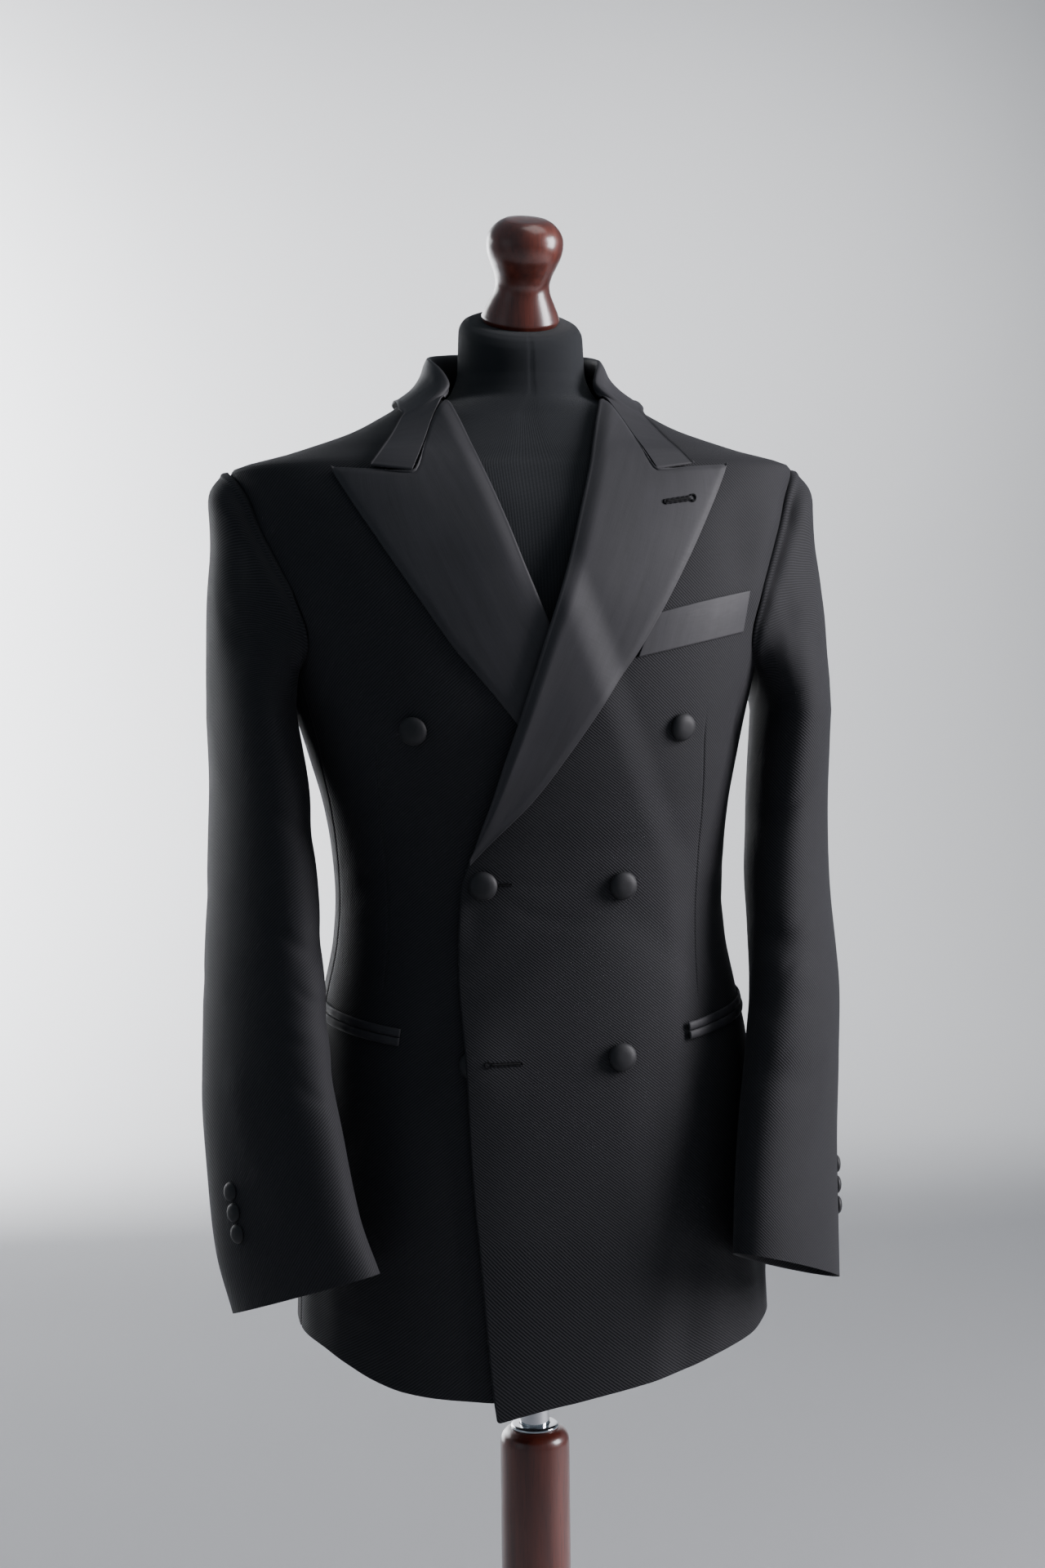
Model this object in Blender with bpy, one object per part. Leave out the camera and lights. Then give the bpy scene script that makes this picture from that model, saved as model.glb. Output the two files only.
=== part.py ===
"""Double-breasted dinner jacket on a limbless dress form with its turned stand.

Metres, +Z up. The jacket faces -Y and its wearer's left is +X. The origin is the middle of the
base's underside.
"""
from math import asin, cos, pi, radians, sin

import bmesh
import bpy
import numpy as np
from mathutils import Matrix, Vector

# Cloth
CLOTH_WALL = 0.0014
TRIM_WALL = 0.0012
SEAM_GAP = 0.0003
LOW_LIFT = 0.0040
HIGH_LIFT = 0.0048
SQUARENESS = 2.3  # exponent of the torso's superellipse sections

# Heights of the jacket's landmarks
SHOULDER_HEIGHT = 1.4210
UNDERARM_HEIGHT = 1.2615
NECK_SEAM_HEIGHT = 1.484
BREAK_HEIGHT = 1.125
BASE_HEM = 0.76
# The jacket hangs a little towards the wearer's right and lower there
SHOULDER_SHIFT = -0.006
SHOULDER_TILT = 0.012

# Torso sections: height, half width, front depth, back depth, centre
TORSO = (
    (0.700, 0.1860, 0.1300, 0.1260, 0.000),
    (0.760, 0.1835, 0.1280, 0.1270, 0.000),
    (0.850, 0.1800, 0.1260, 0.1300, 0.000),
    (0.930, 0.1745, 0.1220, 0.1300, 0.000),
    (0.985, 0.1680, 0.1180, 0.1240, 0.000),
    (1.024, 0.1595, 0.1150, 0.1170, 0.000),
    (1.060, 0.1525, 0.1130, 0.1100, 0.000),
    (1.090, 0.1505, 0.1120, 0.1070, 0.000),
    (1.126, 0.1525, 0.1140, 0.1070, 0.000),
    (1.160, 0.1570, 0.1200, 0.1110, 0.000),
    (1.200, 0.1665, 0.1280, 0.1170, 0.000),
    (1.250, 0.1800, 0.1330, 0.1220, 0.000),
    (1.300, 0.1935, 0.1310, 0.1240, 0.001),
    (1.350, 0.2060, 0.1220, 0.1220, 0.004),
    (1.388, 0.2145, 0.1080, 0.1130, 0.007),
    (1.4205, 0.2215, 0.0900, 0.0970, 0.009),
    (1.4350, 0.1760, 0.0790, 0.0850, 0.010),
    (1.4515, 0.1280, 0.0680, 0.0730, 0.010),
    (1.4625, 0.1070, 0.0610, 0.0660, 0.010),
    (1.4705, 0.0935, 0.0555, 0.0610, 0.010),
    (1.4870, 0.0730, 0.0485, 0.0560, 0.010),
    (1.5050, 0.0645, 0.0440, 0.0540, 0.010),
    (1.530, 0.0600, 0.0420, 0.0520, 0.010),
)
# Soft folds of the body: turn in degrees, height, half turn, half height, slant, depth
BODY_FOLDS = (
    (-12.0, 1.050, 16.0, 0.022, 0.0020, -0.0016),
    (22.0, 1.075, 18.0, 0.020, -0.0016, -0.0014),
    (36.0, 0.860, 7.0, 0.110, 0.0000, 0.0024),
    (-38.0, 0.870, 8.0, 0.100, 0.0000, 0.0022),
    (66.0, 0.840, 8.0, 0.090, 0.0000, -0.0030),
    (-68.0, 0.850, 8.0, 0.090, 0.0000, -0.0028),
    (128.0, 0.860, 9.0, 0.100, 0.0000, 0.0034),
    (-126.0, 0.850, 9.0, 0.110, 0.0000, 0.0030),
    (158.0, 0.850, 8.0, 0.100, 0.0000, -0.0026),
    (-160.0, 0.870, 8.0, 0.100, 0.0000, -0.0024),
    (64.0, 1.215, 9.0, 0.030, 0.0010, -0.0022),
    (-64.0, 1.205, 9.0, 0.032, -0.0010, -0.0024),
    (122.0, 1.225, 10.0, 0.028, -0.0012, -0.0026),
    (-121.0, 1.215, 10.0, 0.030, 0.0012, -0.0024),
    (150.0, 1.090, 16.0, 0.020, 0.0010, -0.0016),
    (-148.0, 1.100, 16.0, 0.020, -0.0010, -0.0016),
)
# Armhole: height, front turn, back turn in degrees
ARMHOLE = (
    (1.2615, 90.0, 90.0),
    (1.2635, 77.0, 99.0),
    (1.2720, 67.0, 106.0),
    (1.2850, 61.5, 112.0),
    (1.3000, 60.0, 115.5),
    (1.3200, 61.0, 117.0),
    (1.3400, 64.0, 117.0),
    (1.3600, 67.5, 115.5),
    (1.3800, 71.5, 112.0),
    (1.4000, 74.5, 107.5),
    (1.4125, 79.5, 101.0),
    (1.4210, 90.0, 90.0),
)
# Hem of the fronts, by the turn towards their own side: turn, height
LEFT_HEM = ((-14.0, 0.7215), (-2.5, 0.7313), (4.6, 0.7370), (14.0, 0.7425), (28.7, 0.7500), (37.9, 0.7555),
            (58.6, 0.7620), (84.0, 0.7695))
RIGHT_HEM = ((-14.0, 0.7420), (-5.0, 0.7390), (2.5, 0.7372), (13.0, 0.7364), (18.0, 0.7376), (27.0, 0.7395),
             (35.7, 0.7428), (44.9, 0.7493), (54.9, 0.7578), (65.5, 0.7645), (84.0, 0.7695))
# Hem behind the side seams: turn, height
HEM = ((84.0, 0.7695), (90.0, 0.771), (135.0, 0.768), (180.0, 0.762))
# Seams of the side body: height, front turn, back turn in degrees
SIDE_SEAMS = ((0.70, 84.0, 114.0), (1.00, 84.0, 114.0), (1.10, 82.0, 113.0), (1.268, 71.0, 115.0),
              (1.305, 69.0, 116.0))
SIDE_TOP_FRONT = 1.268
SIDE_TOP_BACK = 1.305
# Roll line, where each front turns back as its lapel: height, across from the torso's middle
ROLL = (
    (1.125, -0.0626),
    (1.158, -0.0479),
    (1.194, -0.0355),
    (1.229, -0.0226),
    (1.265, -0.0094),
    (1.294, 0.0010),
    (1.318, 0.0100),
    (1.342, 0.0187),
    (1.373, 0.0287),
    (1.398, 0.0372),
    (1.424, 0.0430),
    (1.458, 0.0532),
    (1.4715, 0.0605),
)
# Front edge below the break, for the wearer's left front: height, across
FRONT_EDGE = (
    (0.724, -0.0445),
    (0.783, -0.0530),
    (0.830, -0.0585),
    (0.876, -0.0630),
    (0.923, -0.0655),
    (0.981, -0.0671),
    (1.010, -0.0693),
    (1.039, -0.0709),
    (1.068, -0.0703),
    (1.092, -0.0688),
    (1.107, -0.0676),
    (1.125, -0.0626),
)
# Outer edge of a lapel from the break to the peak: height, across
LAPEL_EDGE = (
    (1.1225, -0.0622),
    (1.1388, -0.0480),
    (1.1690, -0.0184),
    (1.2002, 0.0070),
    (1.2418, 0.0383),
    (1.2600, 0.0525),
    (1.2775, 0.0664),
    (1.3065, 0.0857),
    (1.3385, 0.1065),
    (1.3701, 0.1265),
    (1.4027, 0.1450),
    (1.4165, 0.1505),
)
# Top of a lapel from the roll line along the gorge to the peak: share of the width, across, height
LAPEL_TOP = (
    (0.00, 0.0605, 1.4700),
    (0.20, 0.0705, 1.4550),
    (0.36, 0.0806, 1.4330),
    (0.50, 0.0918, 1.4102),
    (0.75, 0.1215, 1.4142),
    (1.00, 0.1505, 1.4172),
)
# Collar round the neck: turn in degrees, fold height, outer edge height
COLLAR = (
    (41.0, 1.4790, 1.4575),
    (48.0, 1.4870, 1.4610),
    (58.0, 1.4950, 1.4655),
    (72.0, 1.5020, 1.4695),
    (90.0, 1.5080, 1.4720),
    (110.0, 1.5130, 1.4700),
    (130.0, 1.5165, 1.4680),
    (155.0, 1.5195, 1.4665),
    (180.0, 1.5205, 1.4660),
)
# Front end of the collar beyond the fold: gorge across, gorge height, edge across, edge height
COLLAR_END = (
    (0.0923, 1.4118, 0.1220, 1.4160),
    (0.0858, 1.4250, 0.1143, 1.4252),
    (0.0794, 1.4385, 0.1068, 1.4345),
    (0.0712, 1.4550, 0.1000, 1.4440),
    (0.0634, 1.4690, 0.0945, 1.4525),
)
COLLAR_SKEW = 8.0  # degrees that the outer edge runs ahead of the fold at the front
# Sleeves: height, left across, right across, along, half width, half depth, twist, front rise
SLEEVE = (
    (1.235, 0.2145, 0.2140, 0.004, 0.0295, 0.0780, 9.0, 0.00),
    (1.170, 0.2085, 0.2090, -0.004, 0.0310, 0.0765, 14.0, 0.03),
    (1.100, 0.2030, 0.2085, -0.020, 0.0320, 0.0740, 19.0, 0.08),
    (1.030, 0.2005, 0.2095, -0.045, 0.0320, 0.0710, 25.0, 0.14),
    (0.970, 0.1920, 0.2095, -0.066, 0.0315, 0.0690, 30.0, 0.20),
    (0.910, 0.1823, 0.2043, -0.085, 0.0300, 0.0675, 36.0, 0.26),
    (0.860, 0.1770, 0.1974, -0.098, 0.0290, 0.0665, 40.0, 0.31),
    (0.818, 0.1744, 0.1850, -0.105, 0.0285, 0.0660, 42.0, 0.35),
)
# Soft folds of a sleeve: height, angle in degrees, half height, half angle, slant, depth
SLEEVE_FOLDS = (
    (1.290, 70.0, 0.016, 40.0, 0.010, -0.0025),
    (1.150, 120.0, 0.018, 45.0, -0.010, -0.0030),
    (1.060, 95.0, 0.014, 50.0, 0.012, -0.0034),
    (1.015, 100.0, 0.012, 45.0, -0.006, -0.0028),
    (0.965, 75.0, 0.014, 50.0, 0.008, -0.0022),
    (1.080, 250.0, 0.030, 40.0, 0.000, 0.0026),
    (1.240, 255.0, 0.022, 35.0, -0.008, -0.0028),
    (0.890, 20.0, 0.040, 35.0, 0.000, -0.0018),
)
SLEEVE_FRONT_SEAM = 118.0
SLEEVE_BACK_SEAM = 258.0
SLEEVE_SEAM_ANGLE = 0.35
# Halves of a sleeve: first angle, last angle, columns
SLEEVE_HALVES = {
    "top_sleeve": (SLEEVE_BACK_SEAM - 360.0 + SLEEVE_SEAM_ANGLE, SLEEVE_FRONT_SEAM - SLEEVE_SEAM_ANGLE, 12),
    "under_sleeve": (SLEEVE_FRONT_SEAM + SLEEVE_SEAM_ANGLE, SLEEVE_BACK_SEAM - SLEEVE_SEAM_ANGLE, 8),
}
CAP_BULGE = 0.021

# Buttons: across, height, and whether the upper front carries it
FRONT_BUTTONS = {
    "button_top_right": (-0.0990, 1.2215, False),
    "button_top_left": (0.1000, 1.2215, True),
    "button_waist_fastened": (-0.0526, 1.1085, True),
    "button_waist_left": (0.0497, 1.1060, True),
    "button_hip_left": (0.0460, 0.9810, True),
    "button_hip_right": (-0.0620, 0.9785, False),
}
BUTTON_RADIUS = 0.0105
BUTTON_RISE = 0.0062
COVERED_BUTTON_RISE = 0.0038
BUTTON_GAP = 0.0006
UNDER_BUTTON_LIFT = 0.0032
SLEEVE_BUTTON_RADIUS = 0.0070
SLEEVE_BUTTON_RISE = 0.0045
SLEEVE_BUTTON_HEIGHTS = (0.8960, 0.8820, 0.8680)
SLEEVE_BUTTON_ANGLES = {True: -55.0, False: -15.0}  # by left; the sleeves are turned differently
SLEEVE_BUTTON_GAP = 0.0006

# Pockets
WELT_CORNERS = ((0.0655, 1.2725), (0.1567, 1.2910), (0.1622, 1.3220), (0.0790, 1.3040))
WELT_OUT = 0.0017
WELT_WALL = 0.0010
JET_DEPTH = 0.006
JET_OUT = 0.0022
JET_STARTS = {"left": (33.5, 0.9955), "right": (40.0, 0.9973)}  # turn, height
JET_END = (98.0, 1.0135)
JET_SPLIT = 0.0004
JET_SPAN = 0.016  # how far the flats of the upper front carry its lift sideways

# Dress form and stand
FORM_BOTTOM = 0.790
NECK_TOP = 1.534
NECK_SLOPE_START = 1.484
NECK_CENTRE = 0.010
NECK_SLOPE = 0.44
# Neck of the form: height, half width, half depth
NECK = (
    (1.474, 0.0620, 0.0525),
    (1.484, 0.0545, 0.0495),
    (1.498, 0.0500, 0.0480),
    (1.518, 0.0492, 0.0480),
    (1.529, 0.0486, 0.0474),
    (1.5355, 0.0455, 0.0440),
    (1.5385, 0.0400, 0.0380),
)
KNOB_TILT = radians(24.0)
KNOB_PROFILE = ((0.0295, 0.000), (0.0307, 0.0032), (0.0296, 0.007), (0.0260, 0.015), (0.0222, 0.024),
                (0.0212, 0.030), (0.0226, 0.037), (0.0262, 0.046), (0.0291, 0.054), (0.0300, 0.0605),
                (0.0290, 0.068), (0.0253, 0.074), (0.0204, 0.0783), (0.0170, 0.080))
POLE_RADIUS = 0.0116
RUNNING_GAP = 0.0005
POLE_BOTTOM = 0.360
SOCKET_TOP = 0.930
FLANGE_RADIUS = 0.0187
FLANGE_HEIGHT = 0.003
COLUMN_RADIUS = 0.0270
COLUMN_TOP = 0.675
COLUMN_BORE_BOTTOM = 0.235
BASE_RADIUS = 0.180
BASE_THICKNESS = 0.030

MATERIALS = {
    "wool": ((0.020, 0.020, 0.023), 0.85, 0.0),
    "satin": ((0.045, 0.043, 0.048), 0.45, 0.0),
    "button_satin": ((0.030, 0.030, 0.034), 0.55, 0.0),
    "jersey": ((0.012, 0.013, 0.016), 0.95, 0.0),
    "mahogany": ((0.160, 0.035, 0.018), 0.22, 0.0),
    "chrome": ((0.75, 0.76, 0.78), 0.12, 1.0),
}


def clear_scene():
    for thing in list(bpy.data.objects):
        bpy.data.objects.remove(thing, do_unlink=True)


def make_material(name):
    colour, roughness, metallic = MATERIALS[name]
    material = bpy.data.materials.new(name)
    material.use_nodes = True
    shader = material.node_tree.nodes["Principled BSDF"]
    shader.inputs["Base Color"].default_value = (*colour, 1.0)
    shader.inputs["Roughness"].default_value = roughness
    shader.inputs["Metallic"].default_value = metallic
    return material


def smooth_table(table, column):
    """Monotone cubic through a table's column, by the table's first column."""
    keys = np.array([row[0] for row in table], float)
    values = np.array([row[column] for row in table], float)
    steps = np.diff(keys)
    rises = np.diff(values) / steps
    slopes = np.zeros(len(keys))
    slopes[0] = rises[0]
    slopes[-1] = rises[-1]
    for i in range(1, len(keys) - 1):
        if rises[i - 1] * rises[i] > 0.0:
            before = 2.0 * steps[i] + steps[i - 1]
            after = steps[i] + 2.0 * steps[i - 1]
            slopes[i] = (before + after) / (before / rises[i - 1] + after / rises[i])

    def value(key):
        key = min(max(key, keys[0]), keys[-1])
        i = min(max(int(np.searchsorted(keys, key)) - 1, 0), len(keys) - 2)
        step = steps[i]
        s = (key - keys[i]) / step
        start = values[i] * (1.0 + 2.0 * s) * (1.0 - s) ** 2 + slopes[i] * step * s * (1.0 - s) ** 2
        end = values[i + 1] * s * s * (3.0 - 2.0 * s) + slopes[i + 1] * step * s * s * (s - 1.0)
        return start + end

    return value


half_width = smooth_table(TORSO, 1)
front_depth = smooth_table(TORSO, 2)
back_depth = smooth_table(TORSO, 3)
torso_centre = smooth_table(TORSO, 4)
armhole_front = smooth_table(ARMHOLE, 1)
armhole_back = smooth_table(ARMHOLE, 2)
floor_rows = [row for row in ARMHOLE if row[0] <= SIDE_TOP_BACK]
floor_table = [(row[1], row[0]) for row in reversed(floor_rows)] + [(row[2], row[0]) for row in floor_rows[1:]]
armhole_floor = smooth_table(floor_table, 1)  # height of the armhole's lower edge by turn
hem_height = smooth_table(HEM, 1)
left_hem = smooth_table(LEFT_HEM, 1)
right_hem = smooth_table(RIGHT_HEM, 1)
side_seam_front = smooth_table(SIDE_SEAMS, 1)
side_seam_back = smooth_table(SIDE_SEAMS, 2)
roll_line = smooth_table(ROLL, 1)
front_edge = smooth_table(FRONT_EDGE, 1)
lapel_edge = smooth_table(LAPEL_EDGE, 1)
lapel_top_across = smooth_table(LAPEL_TOP, 1)
lapel_top_height = smooth_table(LAPEL_TOP, 2)
collar_fold = smooth_table(COLLAR, 1)
collar_edge = smooth_table(COLLAR, 2)


def blend(low, high, value):
    """Smooth step from 0 at low to 1 at high, which may be the smaller of the two."""
    s = min(max((value - low) / (high - low), 0.0), 1.0)
    return s * s * (3.0 - 2.0 * s)


def mix(a, b, share):
    return a + (b - a) * share


def turn_distance(a, b):
    return (a - b + 180.0) % 360.0 - 180.0


def body_fold(turn, height):
    """How far the soft folds move the cloth out at this place."""
    out = 0.0
    for fold_turn, fold_height, half_turn, half_height, slant, depth in BODY_FOLDS:
        across = turn_distance(turn, fold_turn)
        up = (height - fold_height - slant * across) / half_height
        out += depth * np.exp(-(across / half_turn) ** 2 - up ** 2)
    return out


def bare_point(turn, height):
    """Point of the torso surface: turn in degrees, 0 at the front and 90 at the wearer's left."""
    angle = radians(turn)
    power = 2.0 / SQUARENESS
    s = sin(angle)
    c = cos(angle)
    x = half_width(height) * abs(s) ** power * (1.0 if s >= 0.0 else -1.0)
    depth = front_depth(height) if c >= 0.0 else back_depth(height)
    y = torso_centre(height) - depth * abs(c) ** power * (1.0 if c >= 0.0 else -1.0)
    z = height + SHOULDER_TILT * x * blend(1.20, 1.40, height)
    return Vector((x + SHOULDER_SHIFT * blend(1.10, 1.30, height), y, z))


def torso_normal(turn, height):
    up = bare_point(turn, height + 0.0008) - bare_point(turn, height - 0.0008)
    around = bare_point(turn + 0.6, height) - bare_point(turn - 0.6, height)
    return around.cross(up).normalized()


def torso_point(turn, height, out=0.0):
    move = out + body_fold(turn, height)
    return bare_point(turn, height) + torso_normal(turn, height) * move


def turn_at(across, height):
    """Turn in degrees of a place on the front half, by height and across from the torso's middle."""
    share = min(abs(across) / half_width(height), 1.0)
    turn = asin(share ** (SQUARENESS / 2.0)) * 180.0 / pi
    return turn if across >= 0.0 else -turn


def front_point(across, height, out=0.0):
    return torso_point(turn_at(across, height), height, out)


def shift_turn(turn, height, distance):
    """Move a turn by a distance along the section."""
    rate = (bare_point(turn + 1.0, height) - bare_point(turn - 1.0, height)).length / 2.0
    return turn + distance / rate


def overlap_lift(across, height):
    """How far the upper front stands out, over the under front and its lapel."""
    lift = mix(LOW_LIFT, HIGH_LIFT, blend(1.125, 1.165, height)) * blend(1.400, 1.310, height)
    button_across, button_height, _ = FRONT_BUTTONS["button_hip_right"]
    near = ((across - button_across) / 0.026) ** 2 + ((height - button_height) / 0.030) ** 2
    edge = -front_opening(min(height, ROLL[-1][0]), True)
    return lift * blend(edge + 0.046, edge + 0.014, across) + UNDER_BUTTON_LIFT * float(np.exp(-near))


def add_object(name, mesh_data, material, smooth_angle=50.0):
    mesh = bpy.data.meshes.new(name)
    mesh_data.to_mesh(mesh)
    mesh_data.free()
    mesh.shade_smooth()
    mesh.set_sharp_from_angle(angle=radians(smooth_angle))
    thing = bpy.data.objects.new(name, mesh)
    bpy.context.scene.collection.objects.link(thing)
    thing.data.materials.append(material)
    return thing


def wall_on_body(name, places, thickness, material):
    """Closed wall whose points are (turn, height, out) places of the torso, moved out along it."""
    outer = [[torso_point(turn, height, out) for turn, height, out in row] for row in places]
    inner = [[torso_point(turn, height, out - thickness) for turn, height, out in row] for row in places]
    return closed_wall(name, outer, inner, material)


def grid_normals(rows):
    points = np.array([[tuple(p) for p in row] for row in rows])
    along = np.gradient(points, axis=0)
    across = np.gradient(points, axis=1)
    normals = np.cross(across, along)
    lengths = np.linalg.norm(normals, axis=2, keepdims=True)
    return points, normals / np.maximum(lengths, 1e-12)


def wall(name, rows, thickness, material, facing=1.0, spare=0):
    """Closed wall from a grid of outer points; facing is -1 where the grid's normal points in.

    Spare columns at each side only steady the normals, and are left out of the wall.
    """
    points, normals = grid_normals(rows)
    inner = points - normals * thickness * facing
    keep = slice(spare, points.shape[1] - spare)
    return closed_wall(name, points[:, keep], inner[:, keep], material)


def closed_wall(name, outer, inner, material):
    """Closed solid between two grids of points, with a rim round their edges."""
    count_rows = len(outer)
    count_columns = len(outer[0])
    mesh_data = bmesh.new()
    outside = [[mesh_data.verts.new(p) for p in row] for row in outer]
    inside = [[mesh_data.verts.new(p) for p in row] for row in inner]
    for r in range(count_rows - 1):
        for c in range(count_columns - 1):
            mesh_data.faces.new((outside[r][c], outside[r][c + 1], outside[r + 1][c + 1], outside[r + 1][c]))
            mesh_data.faces.new((inside[r][c], inside[r + 1][c], inside[r + 1][c + 1], inside[r][c + 1]))
    rim = [(0, c) for c in range(count_columns)]
    rim += [(r, count_columns - 1) for r in range(1, count_rows)]
    rim += [(count_rows - 1, c) for c in range(count_columns - 2, -1, -1)]
    rim += [(r, 0) for r in range(count_rows - 2, 0, -1)]
    for i, (r, c) in enumerate(rim):
        next_r, next_c = rim[(i + 1) % len(rim)]
        mesh_data.faces.new((outside[r][c], inside[r][c], inside[next_r][next_c], outside[next_r][next_c]))
    bmesh.ops.recalc_face_normals(mesh_data, faces=mesh_data.faces)
    return add_object(name, mesh_data, material)


def loft(name, rings, material, start, end):
    """Closed solid through rings of equal count, with a fan at each end round its middle point."""
    mesh_data = bmesh.new()
    loops = [[mesh_data.verts.new(p) for p in ring] for ring in rings]
    count = len(rings[0])
    for lower, upper in zip(loops, loops[1:]):
        for i in range(count):
            j = (i + 1) % count
            mesh_data.faces.new((lower[i], lower[j], upper[j], upper[i]))
    for loop, middle in ((loops[0], start), (loops[-1], end)):
        centre = mesh_data.verts.new(middle)
        for i in range(count):
            mesh_data.faces.new((loop[i], loop[(i + 1) % count], centre))
    bmesh.ops.recalc_face_normals(mesh_data, faces=mesh_data.faces)
    return add_object(name, mesh_data, material, 35.0)


def turned(name, profile, material, segments, place=None):
    """Solid of revolution about Z from (radius, height) pairs, closed at both ends of the profile."""
    place = place or Matrix.Identity(4)
    rings = []
    for radius, height in profile:
        ring = []
        for i in range(segments):
            angle = 2.0 * pi * i / segments
            ring.append(place @ Vector((radius * cos(angle), radius * sin(angle), height)))
        rings.append(ring)
    start = place @ Vector((0.0, 0.0, profile[0][1]))
    end = place @ Vector((0.0, 0.0, profile[-1][1]))
    return loft(name, rings, material, start, end)


# Body panels
LOW_ROWS = (0.760, 0.795, 0.835, 0.880, 0.920, 0.955, 0.985, 1.015, 1.045, 1.075, 1.102)
MID_ROWS = (BREAK_HEIGHT, 1.150, 1.180, 1.210, 1.240)
ARM_ROWS = (1.268, 1.285, 1.305, 1.330, 1.355, 1.380, 1.402, 1.415)
TOP_ROWS = (1.4210, 1.4260, 1.4315, 1.4380, 1.4455, 1.4540, 1.4635, 1.4740)


def on_hem(row, hem):
    """Height of a panel row, eased to the hem line at the bottom."""
    ease = min(max((0.85 - row) / (0.85 - BASE_HEM), 0.0), 1.0)
    return row + (hem - BASE_HEM) * ease


def panel_side(row, back):
    """Turn of a front's or back's side edge at this height."""
    top = SIDE_TOP_BACK if back else SIDE_TOP_FRONT
    if row < top:
        turn = side_seam_back(row) if back else side_seam_front(row)
    elif row < SHOULDER_HEIGHT:
        turn = armhole_back(row) if back else armhole_front(row)
    else:
        turn = 90.0
    gap = SEAM_GAP / 2.0
    return shift_turn(turn, row, gap if back else -gap)


def front_opening(row, left):
    """Across of a front's free edge, its roll line and its neck seam, by height."""
    if row > ROLL[-1][0]:
        return None
    edge = front_edge(row) if row < BREAK_HEIGHT else roll_line(row)
    return edge if left else -edge


def front_rows(left, columns):
    """Grid of a front, from its free edge to its side."""
    sign = 1.0 if left else -1.0
    front_hem = left_hem if left else right_hem
    rows = []
    for row in LOW_ROWS + MID_ROWS + ARM_ROWS + TOP_ROWS:
        opening = front_opening(row, left)
        if opening is None:
            share = (row - ROLL[-1][0]) / (NECK_SEAM_HEIGHT - ROLL[-1][0])
            first = mix(turn_at(ROLL[-1][1], ROLL[-1][0]), 84.0, share)
            first *= sign
        else:
            first = turn_at(opening, row)
        last = panel_side(row, False) * sign
        line = []
        for c in range(columns):
            turn = mix(first, last, c / (columns - 1))
            across = bare_point(turn, row).x - SHOULDER_SHIFT * blend(1.10, 1.30, row)
            height = on_hem(row, front_hem(turn * sign))
            lift = overlap_lift(across, height) if left else 0.0
            line.append((turn, height, lift))
        rows.append(line)
    return rows


def back_rows(left, columns):
    sign = 1.0 if left else -1.0
    rows = []
    for row in LOW_ROWS + MID_ROWS + ARM_ROWS + TOP_ROWS + (NECK_SEAM_HEIGHT,):
        first = panel_side(row, True)
        last = shift_turn(180.0, row, -SEAM_GAP / 2.0)
        line = []
        for c in range(columns):
            turn = mix(first, last, c / (columns - 1))
            line.append((turn * sign, on_hem(row, hem_height(turn)), 0.0))
        rows.append(line)
    return rows


def side_rows(left, columns):
    """Grid of a side body, whose top follows the bottom of the armhole."""
    sign = 1.0 if left else -1.0
    rows = []
    for level in LOW_ROWS + MID_ROWS + (None, "top"):
        line = []
        for c in range(columns):
            share = c / (columns - 1)
            top_turn = mix(side_seam_front(SIDE_TOP_FRONT), side_seam_back(SIDE_TOP_BACK), share)
            top = armhole_floor(top_turn)
            row = level
            if level is None:
                row = mix(MID_ROWS[-1], top, 0.5)
            elif level == "top":
                row = top
            first = shift_turn(side_seam_front(row), row, SEAM_GAP / 2.0)
            last = shift_turn(side_seam_back(row), row, -SEAM_GAP / 2.0)
            turn = mix(first, last, share)
            line.append((turn * sign, on_hem(row, hem_height(turn)), 0.0))
        rows.append(line)
    return rows


def build_body(wool):
    wall_on_body("left_front", front_rows(True, 13), CLOTH_WALL, wool)
    wall_on_body("right_front", front_rows(False, 13), CLOTH_WALL, wool)
    wall_on_body("left_side", side_rows(True, 5), CLOTH_WALL, wool)
    wall_on_body("right_side", side_rows(False, 5), CLOTH_WALL, wool)
    wall_on_body("back_left", back_rows(True, 8), CLOTH_WALL, wool)
    wall_on_body("back_right", back_rows(False, 8), CLOTH_WALL, wool)


# Lapels
LAPEL_COLUMNS = (-0.035, 0.06, 0.20, 0.36, 0.50, 0.75, 1.0)
LAPEL_ROWS = 18


def lapel_rows(left):
    """Grid of a lapel, from its roll line to its edge and from the break up to the gorge."""
    sign = 1.0 if left else -1.0
    rows = []
    for r in range(LAPEL_ROWS):
        share_up = r / (LAPEL_ROWS - 1)
        roll_height = mix(BREAK_HEIGHT + 0.003, LAPEL_TOP[0][2], share_up)
        edge_height = mix(LAPEL_EDGE[0][0] + 0.001, LAPEL_EDGE[-1][0], share_up)
        step = blend(0.62, 1.0, share_up)
        line = []
        for share in LAPEL_COLUMNS:
            inside = min(share, 0.0)
            place = max(share, 0.0)
            across = mix(roll_line(roll_height), lapel_edge(edge_height), place)
            height = mix(roll_height, edge_height, place)
            across = mix(across, lapel_top_across(place), step)
            height = mix(height, lapel_top_height(place), step)
            across += inside * 0.075
            belly = 0.0034 * (1.0 - place) ** 2 * blend(0.0, 0.25, share_up) * blend(-0.05, 0.12, share)
            if left:
                out = mix(0.0024, 0.0036, blend(0.0, 0.10, share_up)) + overlap_lift(across, height)
            else:
                out = mix(0.0017, 0.0024, blend(0.0, 0.10, share_up))
                belly *= blend(0.50, 0.75, share_up)
            if share < 0.0:
                out -= 0.0006 * blend(0.0, 0.2, share_up)
            line.append((turn_at(across * sign, height), height, out + belly))
        rows.append(line)
    return rows


def build_lapels(satin):
    wall_on_body("left_lapel", lapel_rows(True), TRIM_WALL, satin)
    wall_on_body("right_lapel", lapel_rows(False), TRIM_WALL, satin)


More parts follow.
